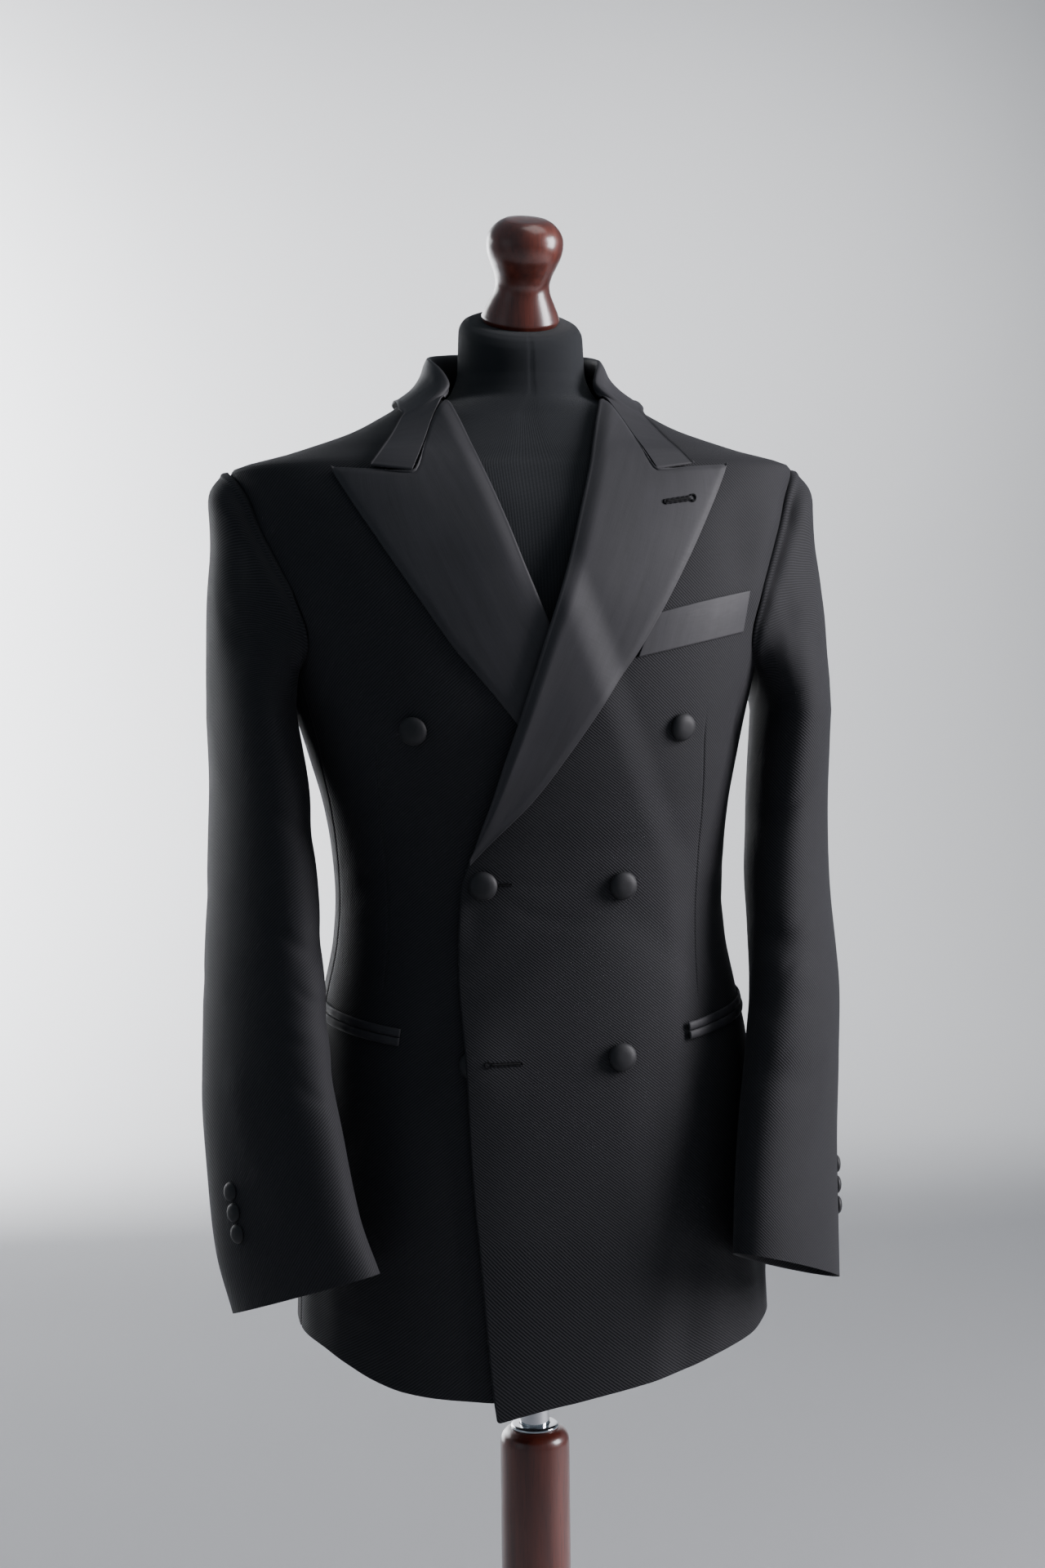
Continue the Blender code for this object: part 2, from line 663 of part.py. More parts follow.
# Collar
COLLAR_TURNS = (43.5, 50.0, 58.0, 68.0, 80.0, 93.0, 108.0, 125.0, 143.0, 161.0)
FALL_SHARES = (0.12, 0.40, 0.70, 1.0)


def collar_section(turn):
    """Points across the collar at a turn: the stand from the neck seam, the fold, and the fall."""
    side = abs(turn)
    fold = collar_fold(side)
    edge = collar_edge(side)
    stand_foot = min(NECK_SEAM_HEIGHT + 0.0012, fold - 0.0045)
    points = [
        torso_point(turn, stand_foot, -0.0006),
        torso_point(turn, mix(stand_foot, fold, 0.55), -0.0002),
        torso_point(turn, fold - 0.0014, 0.0012),
        torso_point(turn, fold, 0.0030),
    ]
    skew = COLLAR_SKEW * blend(92.0, 43.0, side) * (1.0 if turn >= 0.0 else -1.0)
    for share in FALL_SHARES:
        height = mix(fold, edge, share)
        points.append(torso_point(turn + skew * share, height, 0.0046 - 0.0010 * share))
    return points


def collar_end_section(row, sign):
    """Points across the collar's flat front end, from the gorge seam to its edge."""
    gorge_across, gorge_height, edge_across, edge_height = row
    points = []
    for share in (0.0, 0.10, 0.22, 0.36, 0.52, 0.68, 0.84, 1.0):
        across = mix(gorge_across, edge_across, share) * sign
        height = mix(gorge_height, edge_height, share)
        points.append(front_point(across, height, 0.0036))
    return points


def build_collar(satin):
    rows = [collar_end_section(row, 1.0) for row in COLLAR_END]
    rows += [collar_section(turn) for turn in COLLAR_TURNS]
    rows.append(collar_section(180.0))
    rows += [collar_section(-turn) for turn in reversed(COLLAR_TURNS)]
    rows += [collar_end_section(row, -1.0) for row in reversed(COLLAR_END)]
    wall("collar", rows, TRIM_WALL, satin, -1.0)


# Sleeves
sleeve_left = smooth_table(SLEEVE[::-1], 1)
sleeve_right = smooth_table(SLEEVE[::-1], 2)
sleeve_along = smooth_table(SLEEVE[::-1], 3)
sleeve_width = smooth_table(SLEEVE[::-1], 4)
sleeve_depth = smooth_table(SLEEVE[::-1], 5)
sleeve_twist = smooth_table(SLEEVE[::-1], 6)
sleeve_rise = smooth_table(SLEEVE[::-1], 7)
CAP_SHARES = (0.0, 0.08, 0.20, 0.36, 0.54, 0.76)
TUBE_ROWS = (1.235, 1.200, 1.165, 1.130, 1.095, 1.060, 1.030, 1.000, 0.970, 0.935, 0.900, 0.860, 0.818)


def tube_point(angle, height, left):
    """Point of a sleeve's tube; angle 0 is outward, 90 front, 180 towards the body and 270 back."""
    across = (sleeve_left if left else sleeve_right)(height)
    twist = radians(sleeve_twist(height))
    narrow = sleeve_width(height) * cos(radians(angle))
    wide = sleeve_depth(height) * sin(radians(angle))
    x = across + narrow * cos(twist) - wide * sin(twist)
    y = sleeve_along(height) - wide * cos(twist) - narrow * sin(twist)
    z = height + wide * sleeve_rise(height)
    return Vector((x if left else -x, y, z))


def sleeve_middle(height, left):
    across = sleeve_left(height) if left else -sleeve_right(height)
    return Vector((across, sleeve_along(height), height))


def sleeve_fold(angle, height):
    out = 0.0
    for fold_height, fold_angle, half_height, half_angle, slant, depth in SLEEVE_FOLDS:
        around = turn_distance(angle, fold_angle)
        up = (height - fold_height - slant * around / half_angle) / half_height
        out += depth * np.exp(-(around / half_angle) ** 2 - up ** 2)
    return out


def armhole_point(angle, left):
    """Point of the armhole's edge for a sleeve angle, just inside the cut of the panels."""
    middle = (SHOULDER_HEIGHT + UNDERARM_HEIGHT) / 2.0
    reach = (SHOULDER_HEIGHT - UNDERARM_HEIGHT) / 2.0
    lift = cos(radians(angle))
    height = middle + reach * lift * (0.993 if lift > 0.0 else 0.972)
    front = angle % 360.0 <= 180.0
    turn = armhole_front(height) if front else armhole_back(height)
    turn = shift_turn(turn, height, 0.0018 if front else -0.0018)
    return torso_point(turn if left else -turn, height, 0.0008)


def cap_point(angle, share, left):
    """Point of the sleeve head between the armhole and the top of the tube."""
    start = armhole_point(angle, left)
    end = tube_point(angle, SLEEVE[0][0], left)
    top = 0.5 + 0.5 * cos(radians(angle))
    bulge = mix(0.007, CAP_BULGE, top)
    outward = bulge if left else -bulge
    control = start + Vector((outward, 0.35 * start.y * bulge / 0.08, -0.004 * (1.0 - top)))
    return start * (1.0 - share) ** 2 + control * 2.0 * share * (1.0 - share) + end * share ** 2


def sleeve_point(angle, step, left):
    """Point of a sleeve by angle and by step down its length, whole steps being the rows."""
    if step < len(CAP_SHARES):
        point = cap_point(angle, CAP_SHARES[step], left)
    else:
        point = tube_point(angle, TUBE_ROWS[step - len(CAP_SHARES)], left)
    away = point - sleeve_middle(point.z, left)
    away.z = 0.0
    if step > 0:
        point = point + away.normalized() * sleeve_fold(angle, point.z)
    return point


def sleeve_rows(left, first, last, count):
    """Grid of one half of a sleeve, between two angles."""
    rows = []
    for step in range(len(CAP_SHARES) + len(TUBE_ROWS)):
        line = []
        for i in range(-1, count + 1):
            line.append(sleeve_point(mix(first, last, i / (count - 1)), step, left))
        rows.append(line)
    return rows


def build_sleeves(wool, covered):
    for side, left in (("left", True), ("right", False)):
        for half, (first, last, count) in SLEEVE_HALVES.items():
            facing = 1.0 if left else -1.0
            wall(side + "_" + half, sleeve_rows(left, first, last, count), CLOTH_WALL, wool, facing, 1)
        for number, height in enumerate(SLEEVE_BUTTON_HEIGHTS, 1):
            name = side + "_sleeve_button_" + str(number)
            sleeve_button(name, height, left, covered)


def sleeve_seat(height, left):
    """Point and outward normal on the flat between four points of the top sleeve."""
    first, last, count = SLEEVE_HALVES["top_sleeve"]
    place = (SLEEVE_BUTTON_ANGLES[left] - first) / (last - first) * (count - 1)
    column = int(place)
    row = max(k for k in range(len(TUBE_ROWS) - 1) if TUBE_ROWS[k] >= height)
    share = (TUBE_ROWS[row] - height) / (TUBE_ROWS[row] - TUBE_ROWS[row + 1])
    corners = []
    for step in (row, row + 1):
        for c in (column, column + 1):
            angle = mix(first, last, c / (count - 1))
            corners.append(sleeve_point(angle, step + len(CAP_SHARES), left))
    upper = corners[0].lerp(corners[1], place - column)
    lower = corners[2].lerp(corners[3], place - column)
    normal = (corners[1] - corners[0]).cross(lower - upper).normalized()
    if normal.dot(upper - sleeve_middle(height, left)) < 0.0:
        normal = -normal
    return upper.lerp(lower, share), normal


def sleeve_button(name, height, left, covered):
    centre, normal = sleeve_seat(height, left)
    dome(name, centre, normal, SLEEVE_BUTTON_RADIUS, SLEEVE_BUTTON_RISE, SLEEVE_BUTTON_GAP, 10, covered)


def dome(name, centre, normal, radius, rise, gap, segments, material):
    """Covered button: a domed disc standing just off the cloth."""
    place = Matrix.Translation(centre + normal * gap) @ normal.to_track_quat("Z", "Y").to_matrix().to_4x4()
    profile = ((radius * 0.80, 0.0), (radius, rise * 0.30), (radius * 0.90, rise * 0.66),
               (radius * 0.55, rise * 0.93), (radius * 0.18, rise))
    turned(name, profile, material, segments, place)


def build_buttons(covered):
    for name, (across, height, on_upper) in FRONT_BUTTONS.items():
        turn = turn_at(across, height)
        out = overlap_lift(across - BUTTON_RADIUS, height) if on_upper else 0.0
        centre = torso_point(turn, height, out)
        rise = COVERED_BUTTON_RISE if name == "button_hip_right" else BUTTON_RISE
        dome(name, centre, torso_normal(turn, height), BUTTON_RADIUS, rise, BUTTON_GAP, 12, covered)


# Pockets
def build_pockets(satin):
    bottom_left, bottom_right, top_right, top_left = WELT_CORNERS
    rows = []
    for r in range(4):
        up = r / 3.0
        line = []
        for c in range(7):
            share = c / 6.0
            across = mix(mix(bottom_left[0], bottom_right[0], share), mix(top_left[0], top_right[0], share), up)
            height = mix(mix(bottom_left[1], bottom_right[1], share), mix(top_left[1], top_right[1], share), up)
            line.append((turn_at(across, height), height, WELT_OUT + overlap_lift(across, height)))
        rows.append(line)
    wall_on_body("breast_welt", rows, WELT_WALL, satin)
    for side, sign in (("left", 1.0), ("right", -1.0)):
        for part, low in (("upper", JET_SPLIT / 2.0), ("lower", -JET_DEPTH - JET_SPLIT / 2.0)):
            rows = []
            for r in range(3):
                line = []
                for c in range(11):
                    share = c / 10.0
                    turn = mix(JET_STARTS[side][0], JET_END[0], share)
                    height = mix(JET_STARTS[side][1], JET_END[1], share) + low + JET_DEPTH * r / 2.0
                    out = JET_OUT
                    if sign > 0.0:
                        across = bare_point(turn, height).x
                        out += overlap_lift(across - JET_SPAN, height)
                    line.append((turn * sign, height, out))
                rows.append(line)
            wall_on_body(side + "_" + part + "_jet", rows, TRIM_WALL, satin)


# Dress form
FORM_RINGS = (0.790, 0.796, 0.860, 0.930, 0.985, 1.030, 1.090, 1.150, 1.210, 1.260, 1.310, 1.360, 1.393,
              1.412, 1.4205, 1.4290, 1.4385, 1.4500, 1.4610)
FORM_SEGMENTS = 24


def form_inset(height):
    """How far the form lies inside the cloth's outer surface."""
    shoulder = 0.0014 * blend(1.385, 1.412, height) * blend(1.436, 1.424, height)
    return mix(0.0090, 0.0023, blend(1.30, 1.405, height)) + shoulder


def neck_ring(height, half_across, half_along):
    ring = []
    for i in range(FORM_SEGMENTS):
        angle = 2.0 * pi * i / FORM_SEGMENTS
        x = half_across * sin(angle)
        y = NECK_CENTRE - half_along * cos(angle)
        slope = NECK_SLOPE * blend(NECK_SLOPE_START, NECK_TOP, height)
        ring.append(Vector((x, y, height + (y - NECK_CENTRE) * slope)))
    return ring


def build_form(jersey, mahogany):
    rings = []
    bore = POLE_RADIUS + RUNNING_GAP
    for height in (SOCKET_TOP, FORM_BOTTOM):
        ring = []
        for i in range(FORM_SEGMENTS):
            angle = 2.0 * pi * i / FORM_SEGMENTS
            ring.append(Vector((bore * sin(angle), -bore * cos(angle), height)))
        rings.append(ring)
    for height in FORM_RINGS:
        inset = form_inset(height) + (0.006 if height == FORM_BOTTOM else 0.0)
        ring = []
        for i in range(FORM_SEGMENTS):
            turn = 360.0 * i / FORM_SEGMENTS
            normal = torso_normal(turn, height)
            point = bare_point(turn, height) - normal * inset
            if height <= FORM_RINGS[1]:
                point.z = height
            ring.append(point)
        rings.append(ring)
    for height, half_across, half_along in NECK:
        rings.append(neck_ring(height, half_across, half_along))
    top = rings[-1]
    start = Vector((0.0, 0.0, SOCKET_TOP))
    end = sum(top, Vector()) / len(top)
    loft("form_torso", rings, jersey, start, end)
    seat = Matrix.Translation(end + Vector((0.0, 0.0, 0.0004))) @ Matrix.Rotation(KNOB_TILT, 4, "X")
    turned("neck_knob", KNOB_PROFILE, mahogany, 18, seat)


# Stand
def build_stand(mahogany, chrome):
    bore = POLE_RADIUS + RUNNING_GAP
    pole = ((POLE_RADIUS - 0.001, POLE_BOTTOM), (POLE_RADIUS, POLE_BOTTOM + 0.001),
            (POLE_RADIUS, SOCKET_TOP - 0.0015), (POLE_RADIUS - 0.001, SOCKET_TOP - SEAM_GAP))
    turned("pole", pole, chrome, 20)
    low = COLUMN_TOP + SEAM_GAP
    flange = ((bore, low), (FLANGE_RADIUS, low), (FLANGE_RADIUS, low + FLANGE_HEIGHT * 0.7),
              (FLANGE_RADIUS - 0.0015, low + FLANGE_HEIGHT), (bore, low + FLANGE_HEIGHT))
    ring_solid("flange", flange, chrome, 20)
    column = ((bore, COLUMN_BORE_BOTTOM), (bore, COLUMN_TOP), (COLUMN_RADIUS - 0.008, COLUMN_TOP),
              (COLUMN_RADIUS - 0.002, COLUMN_TOP - 0.004), (COLUMN_RADIUS, COLUMN_TOP - 0.010),
              (COLUMN_RADIUS, BASE_THICKNESS + 0.05), (COLUMN_RADIUS + 0.004, BASE_THICKNESS + 0.02),
              (COLUMN_RADIUS + 0.012, BASE_THICKNESS + 0.006), (COLUMN_RADIUS + 0.014, BASE_THICKNESS + SEAM_GAP))
    turned("column", column, mahogany, 24)
    base = ((BASE_RADIUS - 0.003, 0.0), (BASE_RADIUS, 0.003), (BASE_RADIUS, BASE_THICKNESS * 0.5),
            (BASE_RADIUS - 0.004, BASE_THICKNESS * 0.8), (BASE_RADIUS - 0.012, BASE_THICKNESS))
    turned("base", base, mahogany, 40)


def ring_solid(name, profile, material, segments):
    """Solid of revolution of a closed profile that stays off the axis."""
    mesh_data = bmesh.new()
    loops = []
    for i in range(segments):
        angle = 2.0 * pi * i / segments
        loops.append([mesh_data.verts.new((r * cos(angle), r * sin(angle), z)) for r, z in profile])
    count = len(profile)
    for i in range(segments):
        here = loops[i]
        there = loops[(i + 1) % segments]
        for k in range(count):
            n = (k + 1) % count
            mesh_data.faces.new((here[k], there[k], there[n], here[n]))
    bmesh.ops.recalc_face_normals(mesh_data, faces=mesh_data.faces)
    return add_object(name, mesh_data, material, 35.0)


def main():
    clear_scene()
    materials = {name: make_material(name) for name in MATERIALS}
    build_body(materials["wool"])
    build_lapels(materials["satin"])
    build_collar(materials["satin"])
    build_sleeves(materials["wool"], materials["button_satin"])
    build_pockets(materials["satin"])
    build_buttons(materials["button_satin"])
    build_form(materials["jersey"], materials["mahogany"])
    build_stand(materials["mahogany"], materials["chrome"])


main()
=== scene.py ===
"""Looks of the double-breasted dinner jacket on its dress form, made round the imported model.

Metres, +Z up. The jacket faces -Y and its wearer's left is +X. Each cloth piece repeats its solid's
surface at a finer spacing, with soft creases, turned edges, seams and stitching.
"""

from math import cos, pi, radians, sin

import bpy
import numpy as np
from mathutils import Matrix, Vector


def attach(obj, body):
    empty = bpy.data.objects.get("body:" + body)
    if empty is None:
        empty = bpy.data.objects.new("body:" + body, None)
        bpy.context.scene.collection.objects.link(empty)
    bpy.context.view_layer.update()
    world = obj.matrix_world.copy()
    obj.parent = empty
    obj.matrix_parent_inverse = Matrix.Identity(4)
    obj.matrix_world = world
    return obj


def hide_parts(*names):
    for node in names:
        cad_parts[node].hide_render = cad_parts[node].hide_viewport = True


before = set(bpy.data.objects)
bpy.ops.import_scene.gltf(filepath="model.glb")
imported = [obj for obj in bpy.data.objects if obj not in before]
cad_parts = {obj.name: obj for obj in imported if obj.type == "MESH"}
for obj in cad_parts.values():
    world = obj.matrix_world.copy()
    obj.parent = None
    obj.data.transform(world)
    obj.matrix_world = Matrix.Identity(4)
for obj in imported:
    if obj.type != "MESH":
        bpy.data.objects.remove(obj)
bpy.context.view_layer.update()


# Cloth
CLOTH_WALL = 0.0014
TRIM_WALL = 0.0012
SEAM_GAP = 0.0003
LOW_LIFT = 0.0040
HIGH_LIFT = 0.0048
LIFT_END = 1.40  # height at which the upper front lies on the body again
OVERLAP_START = 0.014  # the lift fades between these distances past the under front's edge
OVERLAP_END = 0.046
DART_ARC = 0.0029  # metres of cloth to a degree beside the darts
SQUARENESS = 2.3
TURNED_EDGE = 0.0011  # radius of a turned cloth edge
HEM_TURN = 0.036  # height of the cloth turned up at the hem
CUFF_TURN = 0.038
TURN_RIDGE = 0.0004  # rise of the ridge where turned-up cloth ends

# Each side's name and sign, by whether it is the wearer's left
SIDE = {True: "left", False: "right"}
SIGN = {True: 1.0, False: -1.0}

# Heights of the jacket's landmarks
SHOULDER_HEIGHT = 1.4210
UNDERARM_HEIGHT = 1.2615
NECK_SEAM_HEIGHT = 1.484
BREAK_HEIGHT = 1.125
BASE_HEM = 0.76
SHOULDER_SHIFT = -0.006
SHIFT_SPAN = (1.10, 1.30)  # heights between which the shoulders' shift comes in
SHOULDER_TILT = 0.012
TILT_SPAN = (1.20, 1.40)
HEM_EASE_TOP = 0.85  # the hem's own line is eased out up to here
BODY_ARC = 0.0026  # metres of cloth to a degree round the body

# Widths and lengths for the grids' spacing
FRONT_WIDTH = 0.27
BACK_WIDTH = 0.17
SIDE_WIDTH = 0.09
LAPEL_LENGTH = 0.36
LAPEL_WIDTH = 0.085
TOP_SLEEVE_WIDTH = 0.21
UNDER_SLEEVE_WIDTH = 0.13
WELT_LENGTH = 0.094
WELT_HEIGHT = 0.031
JET_LENGTH = 0.17
SIDE_GRID_TOP = 1.240  # above this the side body's rows follow the armhole

# Torso sections: height, half width, front depth, back depth, centre
TORSO = (
    (0.7, 0.186, 0.13, 0.126, 0.0), (0.76, 0.1835, 0.128, 0.127, 0.0), (0.85, 0.18, 0.126, 0.13, 0.0),
    (0.93, 0.1745, 0.122, 0.13, 0.0), (0.985, 0.168, 0.118, 0.124, 0.0),
    (1.024, 0.1595, 0.115, 0.117, 0.0), (1.06, 0.1525, 0.113, 0.11, 0.0),
    (1.09, 0.1505, 0.112, 0.107, 0.0), (1.126, 0.1525, 0.114, 0.107, 0.0), (1.16, 0.157, 0.12, 0.111, 0.0),
    (1.2, 0.1665, 0.128, 0.117, 0.0), (1.25, 0.18, 0.133, 0.122, 0.0), (1.3, 0.1935, 0.131, 0.124, 0.001),
    (1.35, 0.206, 0.122, 0.122, 0.004), (1.388, 0.2145, 0.108, 0.113, 0.007),
    (1.4205, 0.2215, 0.09, 0.097, 0.009), (1.435, 0.176, 0.079, 0.085, 0.01),
    (1.4515, 0.128, 0.068, 0.073, 0.01), (1.4625, 0.107, 0.061, 0.066, 0.01),
    (1.4705, 0.0935, 0.0555, 0.061, 0.01), (1.487, 0.073, 0.0485, 0.056, 0.01),
    (1.505, 0.0645, 0.044, 0.054, 0.01), (1.53, 0.06, 0.042, 0.052, 0.01),
)
# Soft folds of the body: turn in degrees, height, half turn, half height, slant, depth
BODY_FOLDS = (
    (-12.0, 1.05, 16.0, 0.022, 0.002, -0.0016), (22.0, 1.075, 18.0, 0.02, -0.0016, -0.0014),
    (36.0, 0.86, 7.0, 0.11, 0.0, 0.0024), (-38.0, 0.87, 8.0, 0.1, 0.0, 0.0022),
    (66.0, 0.84, 8.0, 0.09, 0.0, -0.003), (-68.0, 0.85, 8.0, 0.09, 0.0, -0.0028),
    (128.0, 0.86, 9.0, 0.1, 0.0, 0.0034), (-126.0, 0.85, 9.0, 0.11, 0.0, 0.003),
    (158.0, 0.85, 8.0, 0.1, 0.0, -0.0026), (-160.0, 0.87, 8.0, 0.1, 0.0, -0.0024),
    (64.0, 1.215, 9.0, 0.03, 0.001, -0.0022), (-64.0, 1.205, 9.0, 0.032, -0.001, -0.0024),
    (122.0, 1.225, 10.0, 0.028, -0.0012, -0.0026), (-121.0, 1.215, 10.0, 0.03, 0.0012, -0.0024),
    (150.0, 1.09, 16.0, 0.02, 0.001, -0.0016), (-148.0, 1.1, 16.0, 0.02, -0.001, -0.0016),
)
# Finer creases of the body: start turn, start height, end turn, end height, half width, depth
BODY_CREASES = (
    (-20.0, 1.106, -48.0, 1.122, 0.0055, -0.0006), (-22.0, 1.099, -50.0, 1.086, 0.006, -0.0005),
    (-12.0, 1.098, 12.0, 1.078, 0.006, -0.0006), (-10.0, 1.108, 10.0, 1.116, 0.0055, -0.0004),
    (52.0, 1.1, 78.0, 1.116, 0.007, -0.0009), (56.0, 1.082, 80.0, 1.086, 0.007, -0.0007),
    (-54.0, 1.104, -80.0, 1.118, 0.007, -0.0009), (-58.0, 1.084, -80.0, 1.09, 0.007, -0.0007),
    (58.0, 1.25, 72.0, 1.205, 0.008, -0.001), (-58.0, 1.246, -74.0, 1.196, 0.008, -0.0012),
    (18.0, 1.01, 26.0, 0.8, 0.015, 0.0007), (46.0, 0.96, 50.0, 0.78, 0.012, -0.0009),
    (-16.0, 1.01, -22.0, 0.8, 0.015, 0.0006), (-50.0, 0.96, -54.0, 0.78, 0.012, -0.0009),
    (100.0, 1.11, 140.0, 1.126, 0.008, -0.0012), (104.0, 1.094, 146.0, 1.084, 0.008, -0.001),
    (-100.0, 1.112, -138.0, 1.124, 0.008, -0.0012), (-104.0, 1.09, -150.0, 1.08, 0.008, -0.001),
    (112.0, 1.26, 132.0, 1.17, 0.01, -0.0016), (-112.0, 1.256, -134.0, 1.176, 0.01, -0.0014),
    (66.0, 1.396, 57.0, 1.3, 0.017, 0.0024), (45.0, 1.395, 49.0, 1.33, 0.02, -0.002),
    (-66.0, 1.396, -57.0, 1.3, 0.017, 0.0022), (-46.0, 1.392, -50.0, 1.33, 0.02, -0.0018),
    (166.0, 1.44, 140.0, 1.4, 0.012, -0.0008), (-166.0, 1.44, -142.0, 1.398, 0.012, -0.0008),
)
# Armhole: height, front turn, back turn in degrees
ARMHOLE = (
    (1.2615, 90.0, 90.0), (1.2635, 77.0, 99.0), (1.272, 67.0, 106.0), (1.285, 61.5, 112.0),
    (1.3, 60.0, 115.5), (1.32, 61.0, 117.0), (1.34, 64.0, 117.0), (1.36, 67.5, 115.5), (1.38, 71.5, 112.0),
    (1.4, 74.5, 107.5), (1.4125, 79.5, 101.0), (1.421, 90.0, 90.0),
)
# Hem of the fronts, by the turn towards their own side: turn, height
LEFT_HEM = ((-14.0, 0.7215), (-2.5, 0.7313), (4.6, 0.7370), (14.0, 0.7425), (28.7, 0.7500), (37.9, 0.7555),
            (58.6, 0.7620), (84.0, 0.7695))
RIGHT_HEM = ((-14.0, 0.7420), (-5.0, 0.7390), (2.5, 0.7372), (13.0, 0.7364), (18.0, 0.7376), (27.0, 0.7395),
             (35.7, 0.7428), (44.9, 0.7493), (54.9, 0.7578), (65.5, 0.7645), (84.0, 0.7695))
HEM_CORNER = 0.0038  # radius of the upper front's lower corner
EDGE_CURL = 0.0018
# Hem behind the side seams: turn, height
HEM = ((84.0, 0.7695), (90.0, 0.771), (135.0, 0.768), (180.0, 0.762))
# Seams of the side body: height, front turn, back turn in degrees
SIDE_SEAMS = ((0.70, 84.0, 114.0), (1.00, 84.0, 114.0), (1.10, 82.0, 113.0), (1.268, 71.0, 115.0),
              (1.305, 69.0, 116.0))
SIDE_TOP_FRONT = 1.268
SIDE_TOP_BACK = 1.305
# Roll line, where each front turns back as its lapel: height, across from the torso's middle
ROLL = (
    (1.125, -0.0626), (1.158, -0.0479), (1.194, -0.0355), (1.229, -0.0226), (1.265, -0.0094),
    (1.294, 0.001), (1.318, 0.01), (1.342, 0.0187), (1.373, 0.0287), (1.398, 0.0372), (1.424, 0.043),
    (1.458, 0.0532), (1.4715, 0.0605),
)
# Front edge below the break, for the wearer's left front: height, across
FRONT_EDGE = (
    (0.724, -0.0445), (0.783, -0.053), (0.83, -0.0585), (0.876, -0.063), (0.923, -0.0655),
    (0.981, -0.0671), (1.01, -0.0693), (1.039, -0.0709), (1.068, -0.0703), (1.092, -0.0688),
    (1.107, -0.0676), (1.125, -0.0626),
)
# Outer edge of a lapel from the break to the peak: height, across
LAPEL_EDGE = (
    (1.1225, -0.0622), (1.1388, -0.048), (1.169, -0.0184), (1.2002, 0.007), (1.2418, 0.0383),
    (1.26, 0.0525), (1.2775, 0.0664), (1.3065, 0.0857), (1.3385, 0.1065), (1.3701, 0.1265),
    (1.4027, 0.145), (1.4165, 0.1505),
)
# Top of a lapel from the roll line along the gorge to the peak: share of the width, across, height
LAPEL_TOP = (
    (0.0, 0.0605, 1.47), (0.2, 0.0705, 1.455), (0.36, 0.0806, 1.433), (0.5, 0.0918, 1.4102),
    (0.75, 0.1215, 1.4142), (1.0, 0.1505, 1.4172),
)
PEAK_CORNER = 0.0055  # radius of a lapel's peak
LAPEL_EDGE_RADIUS = 0.0008
# Collar round the neck: turn in degrees, fold height, outer edge height
COLLAR = (
    (41.0, 1.479, 1.4575), (48.0, 1.487, 1.461), (58.0, 1.495, 1.4655), (72.0, 1.502, 1.4695),
    (90.0, 1.508, 1.472), (110.0, 1.513, 1.47), (130.0, 1.5165, 1.468), (155.0, 1.5195, 1.4665),
    (180.0, 1.5205, 1.466),
)
# Front end of the collar beyond the fold: gorge across, gorge height, edge across, edge height
COLLAR_END = (
    (0.092, 1.4112, 0.122, 1.416), (0.0852, 1.425, 0.1143, 1.4252), (0.0787, 1.4385, 0.1068, 1.4345),
    (0.071, 1.455, 0.1, 1.444), (0.0632, 1.469, 0.0945, 1.4525),
)
COLLAR_SKEW = 8.0  # degrees that the collar's outer edge runs ahead of its fold at the front
LOWEST_STAND = 0.0045
COLLAR_END_OUT = 0.0036
COLLAR_TURNS = (43.5, 50.0, 58.0, 68.0, 80.0, 93.0, 108.0, 125.0, 143.0, 161.0)
# Sleeves: height, left across, right across, along, half width, half depth, twist, front rise
SLEEVE = (
    (1.235, 0.2145, 0.214, 0.004, 0.0295, 0.078, 9.0, 0.0),
    (1.17, 0.2085, 0.209, -0.004, 0.031, 0.0765, 14.0, 0.03),
    (1.1, 0.203, 0.2085, -0.02, 0.032, 0.074, 19.0, 0.08),
    (1.03, 0.2005, 0.2095, -0.045, 0.032, 0.071, 25.0, 0.14),
    (0.97, 0.192, 0.2095, -0.066, 0.0315, 0.069, 30.0, 0.2),
    (0.91, 0.1823, 0.2043, -0.085, 0.03, 0.0675, 36.0, 0.26),
    (0.86, 0.177, 0.1974, -0.098, 0.029, 0.0665, 40.0, 0.31),
    (0.818, 0.1744, 0.185, -0.105, 0.0285, 0.066, 42.0, 0.35),
)
# Soft folds of a sleeve: height, angle in degrees, half height, half angle, slant, depth
SLEEVE_FOLDS = (
    (1.29, 70.0, 0.016, 40.0, 0.01, -0.0025), (1.15, 120.0, 0.018, 45.0, -0.01, -0.003),
    (1.06, 95.0, 0.014, 50.0, 0.012, -0.0034), (1.015, 100.0, 0.012, 45.0, -0.006, -0.0028),
    (0.965, 75.0, 0.014, 50.0, 0.008, -0.0022), (1.08, 250.0, 0.03, 40.0, 0.0, 0.0026),
    (1.24, 255.0, 0.022, 35.0, -0.008, -0.0028), (0.89, 20.0, 0.04, 35.0, 0.0, -0.0018),
)
